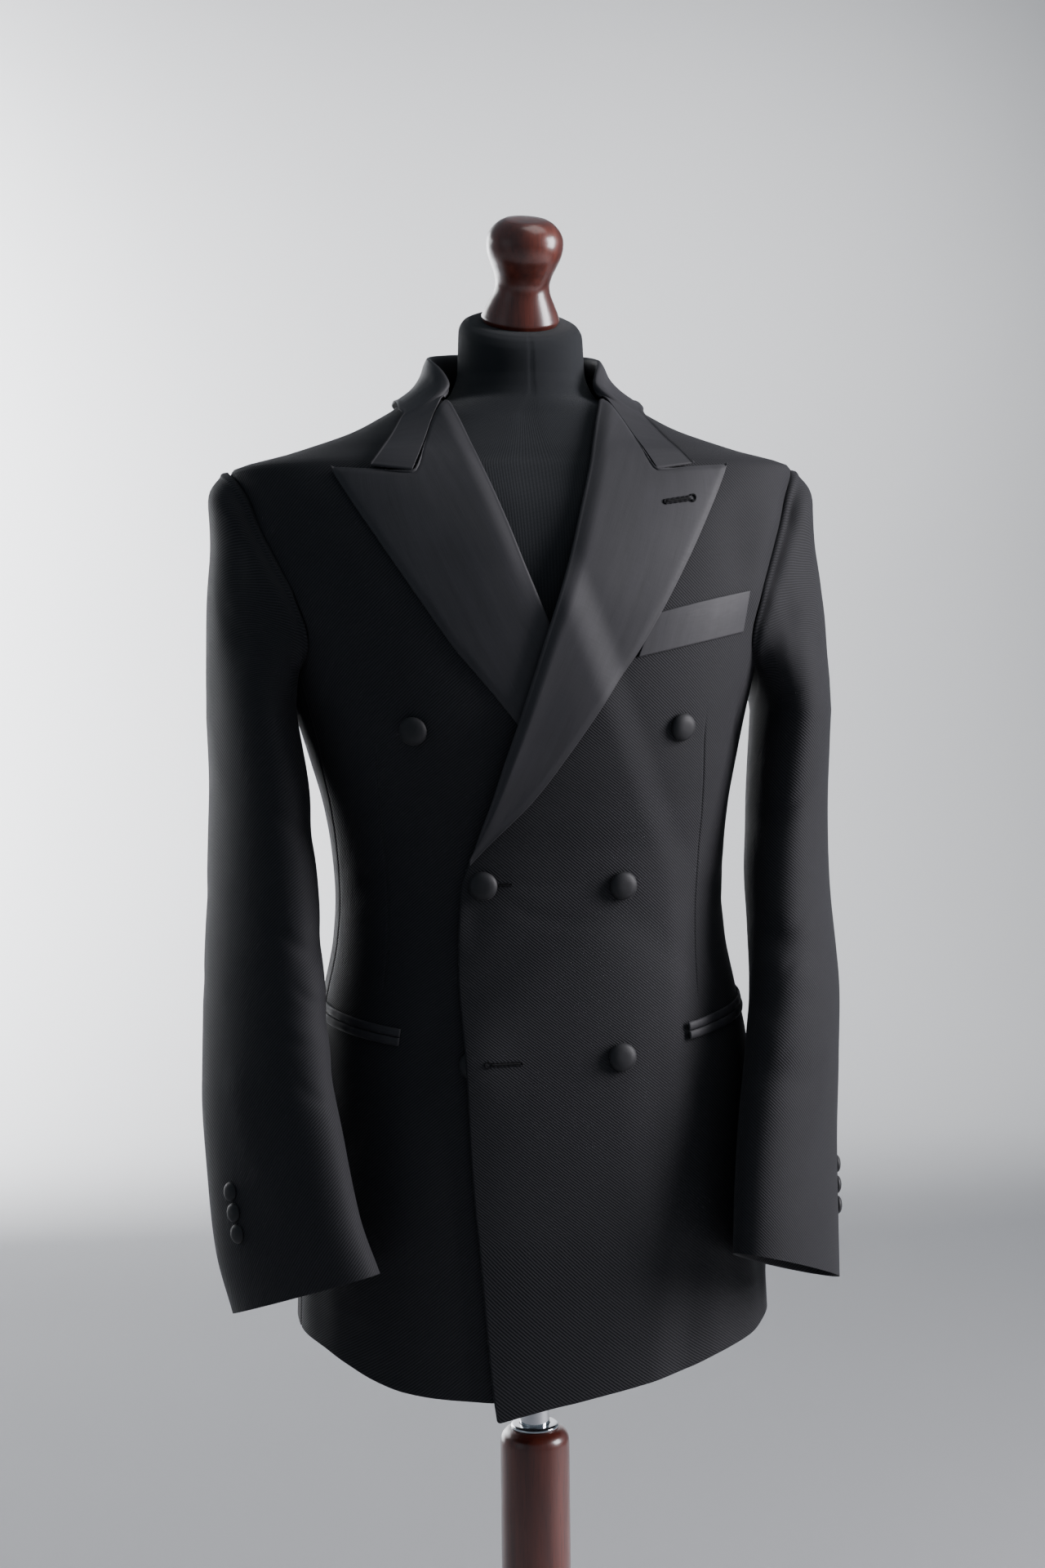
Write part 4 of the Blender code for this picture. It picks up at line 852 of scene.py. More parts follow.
def build_front(left):
    sign = SIGN[left]
    rows = levels(BASE_HEM, 1.474, BODY_STEP)[:, None]
    shares = spaced(FRONT_WIDTH, BODY_STEP, (DART_SHARE,))[None, :]
    opening = front_opening(rows)
    above = np.clip((rows - ROLL[-1][0]) / (NECK_SEAM_HEIGHT - ROLL[-1][0]), 0.0, 1.0)
    first = mix(turn_at(opening, rows), 84.0, above)
    last = panel_side(rows, False)
    dart = (dart_left if left else dart_right)(rows)
    before = mix(first, dart, shares / DART_SHARE)
    after = mix(dart, last, (shares - DART_SHARE) / (1.0 - DART_SHARE))
    turn = np.where(shares < DART_SHARE, before, after) * sign
    across = bare(turn, rows)[..., 0] - SHOULDER_SHIFT * blend(*SHIFT_SPAN, rows)
    height = on_hem(rows, (left_hem if left else right_hem)(turn * sign))
    out = overlap_lift(across, height) if left else np.zeros(turn.shape)
    plain = torso_points(turn, height, out)
    from_edge, from_side = panel_edges(plain)
    from_hem = rows - BASE_HEM
    if left:
        # The hem's corner is rounded, and the free edge curls out beside the fastened button
        inside_corner = np.clip(1.0 - from_edge / HEM_CORNER, 0.0, 1.0)
        rounded = HEM_CORNER * (1.0 - np.sqrt(1.0 - inside_corner ** 2))
        height = height + rounded * blend(0.014, 0.0, from_hem)
        curl_span = blend(1.050, 1.080, rows) * blend(1.120, 1.102, rows)
        out = out + EDGE_CURL * blend(0.013, 0.0, from_edge) * curl_span
    relief = edge_drop(from_edge, TURNED_EDGE) * blend(1.19, 1.12, rows)
    relief = relief + edge_drop(from_hem, TURNED_EDGE) + seam_drop(from_side)
    low, high = DART_SPANS[left]
    inside = blend(low, low + 0.03, rows) * blend(high, high - 0.03, rows)
    from_dart = np.abs(turn_distance(turn, dart * sign)) * DART_ARC
    relief = relief + seam_drop(from_dart, 0.0008, 0.0011) * inside
    relief = relief - turned_ridge(from_hem, HEM_TURN)
    lay_on_body(SIDE[left] + "_front", turn, height, out, relief, CLOTH_WALL, WOOL)


def build_back(left):
    sign = SIGN[left]
    rows = levels(BASE_HEM, NECK_SEAM_HEIGHT, BODY_STEP)[:, None]
    shares = spaced(BACK_WIDTH, BODY_STEP)[None, :]
    first = panel_side(rows, True)
    last = shift_turn(np.full(rows.shape, 180.0), rows, -SEAM_GAP / 2.0)
    turn = mix(first, last, shares) * sign
    height = on_hem(rows, hem_height(np.abs(turn)))
    plain = torso_points(turn, height)
    from_side, from_centre = panel_edges(plain)
    from_hem = rows - BASE_HEM
    relief = edge_drop(from_hem, TURNED_EDGE) + seam_drop(from_side) + seam_drop(from_centre)
    relief = relief - turned_ridge(from_hem, HEM_TURN)
    lay_on_body("back_" + SIDE[left], turn, height, 0.0, relief, CLOTH_WALL, WOOL)


def build_side(left):
    sign = SIGN[left]
    shares = spaced(SIDE_WIDTH, BODY_STEP)[None, :]
    top_turn = mix(side_seam_front(SIDE_TOP_FRONT), side_seam_back(SIDE_TOP_BACK), shares)
    top = armhole_floor(top_turn)
    low_rows = levels(BASE_HEM, SIDE_GRID_TOP, BODY_STEP)[:, None] * np.ones(shares.shape)
    steps = np.linspace(0.0, 1.0, 14)[1:, None]
    rows = np.concatenate((low_rows, mix(SIDE_GRID_TOP, top, steps)))
    first = shift_turn(side_seam_front(rows), rows, SEAM_GAP / 2.0)
    last = shift_turn(side_seam_back(rows), rows, -SEAM_GAP / 2.0)
    turn = mix(first, last, shares) * sign
    height = on_hem(rows, hem_height(np.abs(turn)))
    from_front, from_back = panel_edges(torso_points(turn, height))
    relief = edge_drop(rows - BASE_HEM, TURNED_EDGE) + seam_drop(from_front) + seam_drop(from_back)
    relief = relief - turned_ridge(rows - BASE_HEM, HEM_TURN)
    lay_on_body(SIDE[left] + "_side", turn, height, 0.0, relief, CLOTH_WALL, WOOL)


# Lapels
def lapel_place(share_up, share, left):
    """Across, height and out of a lapel by its share up from the break and out from the roll line."""
    roll_height = mix(BREAK_HEIGHT + 0.003, LAPEL_TOP[0][2], share_up)
    edge_height = mix(LAPEL_EDGE[0][0] + 0.001, LAPEL_EDGE[-1][0], share_up)
    step = blend(0.62, 1.0, share_up)
    across = mix(roll_line(roll_height), lapel_edge(edge_height), share)
    height = mix(roll_height, edge_height, share)
    across = mix(across, lapel_top_across(share), step)
    height = mix(height, lapel_top_height(share), step)
    belly = 0.0034 * (1.0 - share) ** 2 * blend(0.0, 0.25, share_up) * blend(-0.05, 0.12, share)
    if left:
        out = mix(0.0024, 0.0036, blend(0.0, 0.10, share_up)) + overlap_lift(across, height)
    else:
        out = mix(0.0017, 0.0024, blend(0.0, 0.10, share_up)) + np.zeros(across.shape)
        belly = belly * blend(0.50, 0.75, share_up)
    return across, height, out + belly


def build_lapel(left):
    sign = SIGN[left]
    ups = spaced(LAPEL_LENGTH, 0.0030)[:, None]
    shares = spaced(LAPEL_WIDTH, 0.0022)[None, :]
    across, height, out = lapel_place(ups, shares, left)
    plain = torso_points(turn_at(across * sign, height), height, out)
    _, from_edge = panel_edges(plain)
    from_top = run_along(plain[::-1], 0)[::-1]
    pad = 0.0007 * blend(0.0, 0.006, from_edge) * blend(0.0, 0.006, from_top)
    wobble = 0.0005 * np.sin(ups * 11.0 + 0.6) * np.sin(shares * 5.0 + 1.0)
    top = out - edge_drop(from_edge, LAPEL_EDGE_RADIUS) - edge_drop(from_top, LAPEL_EDGE_RADIUS)
    top = top + pad + wobble * blend(0.0, 0.1, ups)
    # The roll turns back under itself round a small radius inside the opening
    turns = np.radians(np.array((158.0, 135.0, 112.0, 90.0, 70.0, 50.0, 32.0, 16.0)))[None, :]
    reach = 0.0026 * blend(0.0, 0.08, ups)
    depth = 0.0020 + 0.0006 * blend(0.0, 0.2, ups)
    roll_across = across[:, :1] - reach * np.sin(turns)
    roll_height = height[:, :1] + np.zeros(turns.shape)
    roll_out = top[:, :1] - depth * (1.0 - np.cos(turns)) / 2.0
    across = np.concatenate((roll_across, across), axis=1)
    height = np.concatenate((roll_height, height), axis=1)
    top = np.concatenate((roll_out, top), axis=1)
    under = np.concatenate((np.full(turns.shape, 0.0005), np.full(shares.shape, TRIM_WALL)), axis=1)
    under = under * np.ones(ups.shape)
    outer = torso_points(turn_at(across * sign, height), height, top)
    spare = np.zeros((len(ups), turns.shape[1]))
    to_edge = np.clip(1.0 - np.concatenate((spare + 1.0, from_edge), axis=1) / PEAK_CORNER, 0.0, 1.0)
    to_top = np.clip(1.0 - np.concatenate((spare + 1.0, from_top), axis=1) / PEAK_CORNER, 0.0, 1.0)
    outward = to_edge * (1.0 - np.sqrt(1.0 - to_top ** 2 / 2.0))
    upward = to_top * (1.0 - np.sqrt(1.0 - to_edge ** 2 / 2.0))
    pull = unit(np.gradient(outer, axis=1)) * outward[..., None]
    pull = pull + unit(np.gradient(outer, axis=0)) * upward[..., None]
    outer = outer - pull * PEAK_CORNER
    inner = outer - grid_normals(outer) * under[..., None] * sign
    cloth_piece(SIDE[left] + "_lapel", outer, inner, SATIN)


# Collar
def refine(points, count, axis):
    """Cubic through a grid's points along one axis, with count steps between each two."""
    points = np.moveaxis(points, axis, 0)
    gaps = np.linalg.norm(np.diff(points, axis=0), axis=-1).mean(axis=tuple(range(1, points.ndim - 1)))
    keys = np.concatenate(((0.0,), np.cumsum(gaps)))
    slopes = np.gradient(points, keys, axis=0)
    made = []
    for i in range(len(points) - 1):
        step = keys[i + 1] - keys[i]
        for k in range(count):
            made.append(cubic(points[i], points[i + 1], slopes[i], slopes[i + 1], step, k / count))
    made.append(points[-1])
    return np.moveaxis(np.array(made), 0, axis)


def collar_section(turn):
    side = abs(turn)
    fold = float(collar_fold(side))
    edge = float(collar_edge(side))
    stand_foot = min(NECK_SEAM_HEIGHT + 0.0012, fold - LOWEST_STAND)
    heights = [stand_foot, mix(stand_foot, fold, 0.55), fold - 0.0014, fold]
    outs = [-0.0006, -0.0002, 0.0012, 0.0030]
    turns = [turn] * 4
    skew = COLLAR_SKEW * float(blend(92.0, 43.0, side)) * (1.0 if turn >= 0.0 else -1.0)
    for share in (0.12, 0.40, 0.70, 1.0):
        heights.append(mix(fold, edge, share))
        outs.append(0.0046 - 0.0010 * share)
        turns.append(turn + skew * share)
    return torso_points(np.array(turns), np.array(heights), np.array(outs))


def collar_end_section(row, sign):
    gorge_across, gorge_height, edge_across, edge_height = row
    shares = np.array((0.0, 0.10, 0.22, 0.36, 0.52, 0.68, 0.84, 1.0))
    across = mix(gorge_across, edge_across, shares) * sign
    height = mix(gorge_height, edge_height, shares)
    return torso_points(turn_at(across, height), height, COLLAR_END_OUT)


def build_collar():
    rows = [collar_end_section(row, 1.0) for row in COLLAR_END]
    rows += [collar_section(turn) for turn in COLLAR_TURNS]
    rows.append(collar_section(180.0))
    rows += [collar_section(-turn) for turn in reversed(COLLAR_TURNS)]
    rows += [collar_end_section(row, -1.0) for row in reversed(COLLAR_END)]
    outer = refine(refine(np.array(rows), 7, 0), 6, 1)
    normals = -grid_normals(outer)
    _, from_edge = panel_edges(outer)
    drop = edge_drop(from_edge, TURNED_EDGE)
    outer = outer - normals * drop[..., None]
    inner = outer - normals * TRIM_WALL
    cloth_piece("collar", outer, inner, SATIN, cloth_map(outer)[..., ::-1])


# Sleeves
def tube(angle, height, left):
    """Sleeve below its head, by the angle round it and the height."""
    across = (sleeve_left if left else sleeve_right)(height)
    twist = np.radians(sleeve_twist(height))
    narrow = sleeve_width(height) * np.cos(np.radians(angle))
    wide = sleeve_depth(height) * np.sin(np.radians(angle))
    x = across + narrow * np.cos(twist) - wide * np.sin(twist)
    y = sleeve_along(height) - wide * np.cos(twist) - narrow * np.sin(twist)
    z = height + wide * sleeve_rise(height)
    return stacked(x if left else -x, y, z)


def sleeve_middle(height, left):
    across = sleeve_left(height) if left else -sleeve_right(height)
    return stacked(across, sleeve_along(height), height)


def sleeve_relief(angle, height, left):
    out = np.zeros(np.broadcast(angle, height).shape)
    for fold_height, fold_angle, half_height, half_angle, slant, depth in SLEEVE_FOLDS:
        around = turn_distance(angle, fold_angle)
        up = (height - fold_height - slant * around / half_angle) / half_height
        out = out + depth * np.exp(-(around / half_angle) ** 2 - up ** 2)
    return out + creases(angle, height, SLEEVE_CREASES[left], SLEEVE_ARC)


def armhole_points(angle, left):
    middle = (SHOULDER_HEIGHT + UNDERARM_HEIGHT) / 2.0
    reach = (SHOULDER_HEIGHT - UNDERARM_HEIGHT) / 2.0
    lift = np.cos(np.radians(angle))
    height = middle + reach * lift * np.where(lift > 0.0, 0.993, 0.972)
    front = angle % 360.0 <= 180.0
    turn = np.where(front, armhole_front(height), armhole_back(height))
    turn = shift_turn(turn, height, np.where(front, 0.0005, -0.0005))
    return torso_points(turn if left else -turn, height, -0.0002)


def cap(angle, share, left):
    """Sleeve head, from the armhole at share 0 to the top of the tube at share 1."""
    start = armhole_points(angle, left)
    end = tube(angle, SLEEVE_TOP, left)
    top = 0.5 + 0.5 * np.cos(np.radians(angle))
    bulge = mix(0.007, CAP_BULGE, top)
    outward = bulge if left else -bulge
    move = np.stack((outward, 0.35 * start[..., 1] * bulge / 0.08, -0.004 * (1.0 - top)), axis=-1)
    control = start + move
    share = share[..., None]
    return start * (1.0 - share) ** 2 + control * 2.0 * share * (1.0 - share) + end * share ** 2


def sleeve_points(angle, level, left):
    """Sleeve points by angle and level: 2 to 1 down the cap, and below that the height of the tube."""
    angle, level = np.broadcast_arrays(np.asarray(angle, float), np.asarray(level, float))
    on_cap = level >= SLEEVE_TOP
    share = np.clip((2.0 - level) / (2.0 - SLEEVE_TOP), 0.0, 1.0) * 0.94
    below = tube(angle, np.minimum(level, SLEEVE_TOP), left)
    points = np.where(on_cap[..., None], cap(angle, share, left), below)
    away = points - sleeve_middle(points[..., 2], left)
    away[..., 2] = 0.0
    move = sleeve_relief(angle, points[..., 2], left)
    move = move * np.where(level >= 2.0, 0.0, 1.0)
    top = 0.5 + 0.5 * np.cos(np.radians(angle))
    rope = 0.0030 * np.exp(-((share - 0.055) / 0.065) ** 2) + 0.0050 * np.exp(-((share - 0.30) / 0.13) ** 2)
    rope = (rope - 0.0015 * np.exp(-((share - 0.58) / 0.10) ** 2)) * top * on_cap
    return points + unit(away) * (move + rope)[..., None]


def build_sleeve_half(name, first, last, arc, left, facing):
    shares = spaced(arc, 0.0034)
    cap_shares = np.concatenate((np.linspace(0.0, 0.10, 8), np.linspace(0.12, 0.97, 26)))
    cap_levels = 2.0 - cap_shares * (2.0 - SLEEVE_TOP)
    tube_levels = levels(CUFF, SLEEVE_TOP, 0.0034)[::-1]
    level = np.concatenate((cap_levels, tube_levels))[:, None]
    spare = 0.004
    shares = np.concatenate(((-spare,), shares, (1.0 + spare,)))
    angle = mix(first, last, shares)[None, :]
    outer = sleeve_points(angle, level, left)
    normals = grid_normals(outer)[:, 1:-1] * facing
    outer = outer[:, 1:-1]
    start, end = panel_edges(outer)
    from_cuff = np.clip(level - CUFF, 0.0, 1.0)
    relief = seam_drop(start, 0.0006) + seam_drop(end, 0.0006)
    relief = relief + edge_drop(from_cuff, TURNED_EDGE) * np.ones(relief.shape)
    relief = relief - turned_ridge(from_cuff, CUFF_TURN)
    outer = outer - normals * relief[..., None]
    inner = outer - normals * (CLOTH_WALL - np.minimum(relief, TURNED_EDGE))[..., None]
    cloth_piece(name, outer, inner, WOOL)


def build_sleeves():
    for left, side in SIDE.items():
        # Rows run down the sleeve, so the grid's own normal points in on the left
        facing = -SIGN[left]
        first = SLEEVE_BACK_SEAM - 360.0 + SLEEVE_SEAM_ANGLE
        last = SLEEVE_FRONT_SEAM - SLEEVE_SEAM_ANGLE
        build_sleeve_half(side + "_top_sleeve", first, last, TOP_SLEEVE_WIDTH, left, facing)
        first = SLEEVE_FRONT_SEAM + SLEEVE_SEAM_ANGLE
        last = SLEEVE_BACK_SEAM - SLEEVE_SEAM_ANGLE
        build_sleeve_half(side + "_under_sleeve", first, last, UNDER_SLEEVE_WIDTH, left, facing)


# Buttons
BUTTON_AXIS = 0.00005  # radius that a button's profile ends at, on its axis


def lathe(name, profile, segments, material, body, solid, place=None, wobble=None):
    """Turned piece from (radius, height) pairs in place of a solid, closed by small rings at its ends."""
    profile = np.array(profile, float)
    angles = np.linspace(0.0, 2.0 * pi, segments, endpoint=False)
    radius = profile[:, :1] * np.ones(segments)
    height = profile[:, 1:] * np.ones(segments)
    if wobble is not None:
        radius, height = wobble(angles[None, :], radius, height)
    points = np.stack((radius * np.cos(angles), radius * np.sin(angles), height), axis=-1)
    rows = len(profile)
    index = np.arange(rows * segments).reshape(rows, segments)
    quads = grid_quads(index, closed=True)
    if profile[-1, 1] < profile[0, 1]:
        quads = quads[:, ::-1]
    vertices = points.reshape(-1, 3)
    around = np.abs(np.linspace(-1.0, 1.0, segments))[None, :] * np.maximum(radius, 0.002) * pi
    run = run_along(profile, 0)[:, None]
    flat = np.stack((around, run + np.zeros(around.shape)), axis=-1).reshape(-1, 2)
    thing = make_mesh(name, vertices, quads, flat, material, 40.0)
    if place is not None:
        thing.data.transform(place)
    return declare(thing, body, solid)


def place_on(centre, normal, gap):
    centre = Vector([float(x) for x in centre])
    normal = Vector([float(x) for x in normal])
    turned = normal.to_track_quat("Z", "Y").to_matrix().to_4x4()
    return Matrix.Translation(centre + normal * gap) @ turned


def button(name, centre, normal, radius, rise, seed):
    """Covered button: satin drawn over a dome and gathered in small pleats under its rim."""
    share = np.linspace(0.0, 1.0, 22)
    dome_radius = radius * np.cos(share * pi / 2.0) ** 0.72
    dome_height = rise * (0.30 + 0.70 * np.sin(share * pi / 2.0) ** 1.25)
    profile = [(BUTTON_AXIS, 0.0002), (radius * 0.30, 0.0002), (radius * 0.72, 0.0)]
    profile += [(radius * 0.90, rise * 0.06), (radius * 0.98, rise * 0.17)]
    profile += [(max(r, BUTTON_AXIS), h) for r, h in zip(dome_radius, dome_height)]

    def gather(angles, r, h):
        below = blend(0.42, 0.0, h / rise) * blend(0.3, 0.9, r / radius)
        pleats = np.sin(angles * 17.0 + seed) * 0.6 + np.sin(angles * 23.0 + 2.0 * seed) * 0.4
        dent = 0.00012 * np.sin(2.0 * angles + seed) * np.sin(h / rise * 3.0)
        return r * (1.0 + 0.016 * below * pleats), h + dent * (r / radius)

    place = place_on(centre, normal, BUTTON_GAP)
    return lathe(name + "_covered", profile, 56, BUTTON_SATIN, "bust", name, place, gather)


def shank(name, centre, normal, radius):
    """Short stitched thread shank between the cloth and the button."""
    profile = [(BUTTON_AXIS, -0.0012), (radius, -0.0012), (radius * 0.9, 0.0), (radius, 0.0012),
               (BUTTON_AXIS, 0.0012)]
    lathe(name + "_shank", profile, 14, THREAD, "bust", None, place_on(centre, normal, 0.0))


def build_buttons():
    for i, (name, (across, height, on_upper)) in enumerate(FRONT_BUTTONS.items()):
        turn = turn_at(across, height)
        out = overlap_lift(across - BUTTON_RADIUS, height) if on_upper else 0.0
        centre = torso_points(turn, height, out)
        normal = torso_normal(turn, height)
        rise = COVERED_BUTTON_RISE if name == "button_hip_right" else BUTTON_RISE
        button(name, centre, normal, BUTTON_RADIUS, rise, 1.3 * i)
        shank(name, centre, normal, 0.0022)
    for left, side in SIDE.items():
        for number, level in enumerate(SLEEVE_BUTTON_HEIGHTS, 1):
            centre, normal = sleeve_seat(SLEEVE_BUTTON_ANGLES[left], level, left)
            name = side + "_sleeve_button_" + str(number)
            button(name, centre, normal, SLEEVE_BUTTON_RADIUS, SLEEVE_BUTTON_RISE, 0.7 * number)
            shank(name, centre, normal, 0.0016)


def sleeve_seat(angle, level, left):
    centre = sleeve_points(angle, level, left)
    around = sleeve_points(angle + 1.0, level, left) - sleeve_points(angle - 1.0, level, left)
    up = sleeve_points(angle, level + 0.002, left) - sleeve_points(angle, level - 0.002, left)
    normal = unit(np.cross(around, up))
    if np.dot(normal, centre - sleeve_middle(level, left)) < 0.0:
        normal = -normal
    return centre, normal


# Pockets
def build_welt():
    bottom_left, bottom_right, top_right, top_left = WELT_CORNERS
    ups = spaced(WELT_HEIGHT, 0.0013)[:, None]
    shares = spaced(WELT_LENGTH, 0.0016)[None, :]
    across = mix(mix(bottom_left[0], bottom_right[0], shares), mix(top_left[0], top_right[0], shares), ups)
    height = mix(mix(bottom_left[1], bottom_right[1], shares), mix(top_left[1], top_right[1], shares), ups)
    height = height + 0.0008 * np.sin(shares * pi) * ups
    out = WELT_OUT + overlap_lift(across, height)
    turn = turn_at(across, height)
    from_start, from_end = panel_edges(torso_points(turn, height, out))
    from_bottom = ups * WELT_HEIGHT
    from_top = WELT_HEIGHT - from_bottom
    relief = sum(edge_drop(distance, WELT_EDGE) for distance in (from_start, from_end, from_top, from_bottom))
    relief = relief - WELT_CROWN * np.sin(shares * pi) * np.sin(ups * pi)
    lay_on_body("breast_welt", turn, height, out, relief, WELT_WALL, SATIN)


def build_jets():
    for left, side in SIDE.items():
        sign = SIGN[left]
        for part, low in (("upper", JET_SPLIT / 2.0), ("lower", -JET_DEPTH - JET_SPLIT / 2.0)):
            ups = np.linspace(0.0, 1.0, 15)[:, None]
            shares = spaced(JET_LENGTH, 0.0028)[None, :]
            turn = mix(JET_STARTS[side][0], JET_END[0], shares) + np.zeros(ups.shape)
            height = mix(JET_STARTS[side][1], JET_END[1], shares) + low + JET_DEPTH * ups
            out = JET_OUT + np.zeros(turn.shape)
            if left:
                out = out + overlap_lift(bare(turn, height)[..., 0] - JET_SPAN, height)
            lips = 0.0012 * (1.0 - np.sqrt(np.clip(1.0 - (2.0 * ups - 1.0) ** 2 * 0.985, 0.0, 1.0)))
            ends = edge_drop(shares * JET_LENGTH, JET_EDGE) + edge_drop((1.0 - shares) * JET_LENGTH, JET_EDGE)
            ripple = 0.00012 * np.sin(shares * 60.0 + sign + low * 500.0)
            name = side + "_" + part + "_jet"
            relief = lips + ends - ripple
            lay_on_body(name, turn * sign, height, out, relief, JET_WALL, SATIN)


# Buttonholes
def tube_mesh(name, path, normals, radius, ribs, material):
    """Stitched cord along a closed or open path, its surface ribbed by the stitches."""
    path = np.array(path)
    count = len(path)
    tangent = unit(np.gradient(path, axis=0))
    side = unit(np.cross(tangent, normals))
    up = unit(np.cross(side, tangent))
    run = run_along(path, 0)
    around = np.linspace(0.0, 2.0 * pi, 9)[:-1]
    swell = radius * (1.0 + 0.22 * np.sin(run / ribs * 2.0 * pi))
    ends = np.minimum(np.arange(count), np.arange(count)[::-1])
    swell = swell * np.clip(0.25 + ends * 0.4, 0.0, 1.0)
    circle = np.cos(around)[None, :, None] * side[:, None] + np.sin(around)[None, :, None] * up[:, None]
    points = path[:, None] + circle * swell[:, None, None]
    index = np.arange(count * 8).reshape(count, 8)
    quads = grid_quads(index, closed=True)
    caps = []
    for ring in (index[0][::-1], index[-1]):
        caps += [ring[[0, 1, 2, 7]], ring[[2, 3, 6, 7]], ring[[3, 4, 5, 6]]]
    flat = np.stack((run[:, None] + np.zeros(8), np.broadcast_to(around * radius, (count, 8))), axis=-1)
    quads = np.concatenate((quads, np.array(caps)))
    thing = make_mesh(name, points.reshape(-1, 3), quads, flat.reshape(-1, 2), material)
    return declare(thing, "bust")


def keyhole_path(length, gap, eyelet):
    """Outline in the plane of a keyhole buttonhole: eyelet at 0, straight lips to its far end."""
    eye = [(eyelet * cos(a), eyelet * sin(a)) for a in np.radians(np.linspace(35.0, 325.0, 22))]
    far = [(x, -gap) for x in np.linspace(eyelet * 1.25, length, 26)]
    back = [(x, gap) for x in np.linspace(length, eyelet * 1.25, 26)]
    bar = [(length + gap * 0.7 * cos(a), gap * sin(a)) for a in np.radians(np.linspace(-70.0, 70.0, 6))]
    return np.array(eye + far + bar + back)


def buttonhole(name, place, length, gap, eyelet, radius):
    """place gives the points and normals for (along, aside) in metres; a near-black tube of painted shade
    lies in the slit between the lips.
    """
    outline = keyhole_path(length, gap, eyelet)
    outline = np.concatenate((outline, outline[:1]))
    points, normals = place(outline[:, 0], outline[:, 1])
    tube_mesh(name + "_stitches", points + normals * radius * 0.4, normals, radius, 0.0007, THREAD)
    # Painted shade: a near-black tube sunk along the slit, standing in for the shade of the opening
    along = np.linspace(eyelet * 0.4, length, 24)
    points, normals = place(along, np.zeros(along.shape))
    tube_mesh(name + "_slit", points - normals * gap * 0.1, normals, gap * 0.75, 0.0020, SLIT_SHADE)


def build_buttonholes():
    def on_front(across0, height0, direction, slope, left=True, extra=0.0):
        def place(along, aside):
            across = across0 + direction * along - aside * slope
            height = height0 + aside + along * slope * direction
            lift = overlap_lift(across, height) if left else 0.0
            turn = turn_at(across, height)
            return torso_points(turn, height, lift + extra), torso_normal(turn, height)
        return place

    def on_sleeve(angle0, level0, left):
        def place(along, aside):
            angle = angle0 + along / SLEEVE_ARC
            level = level0 + aside
            points = sleeve_points(angle, level, left)
            ahead = sleeve_points(angle + 0.5, level, left) - points
            above = sleeve_points(angle, level + 0.0005, left) - points
            normals = unit(np.cross(ahead, above))
            away = points - sleeve_middle(points[..., 2], left)
            facing = np.sign(np.sum(normals * away, axis=-1, keepdims=True))
            return points, normals * facing
        return place

    buttonhole("waist_buttonhole", on_front(-0.0560, 1.1090, 1.0, 0.0), 0.0230, 0.0009, 0.0020, 0.0005)
    buttonhole("hip_buttonhole", on_front(-0.0515, 0.9790, 1.0, 0.02), 0.0235, 0.0012, 0.0022, 0.0005)
    on_lapel = on_front(0.1165, 1.3892, -1.0, 0.16, extra=0.0046)
    buttonhole("lapel_buttonhole", on_lapel, 0.0225, 0.0013, 0.0024, 0.0008)
    for left, side in SIDE.items():
        for number, level in enumerate(CUFF_BUTTONHOLES):
            place = on_sleeve(SLEEVE_BUTTON_ANGLES[left], level, left)
            buttonhole(side + "_cuff_buttonhole_" + str(number + 1), place, 0.0135, 0.0007, 0.0015, 0.0004)


for build in (build_front, build_back, build_side, build_lapel):
    build(True)
    build(False)
build_collar()
build_sleeves()
build_buttons()
build_welt()
build_jets()
build_buttonholes()


# Dress form
def form_inset(height):
    """How far the form lies inside the cloth."""
    shoulder = 0.0014 * blend(1.385, 1.412, height) * blend(1.436, 1.424, height)
    return mix(0.0090, 0.0023, blend(1.30, 1.405, height)) + shoulder


def neck_points(turn, height, half_across, half_along):
    angle = np.radians(turn)
    y = NECK_CENTRE - half_along * np.cos(angle)
    slope = NECK_SLOPE * blend(NECK_SLOPE_START, NECK_TOP, height)
    z = height + (y - NECK_CENTRE) * slope
    return stacked(half_across * np.sin(angle), y, z)


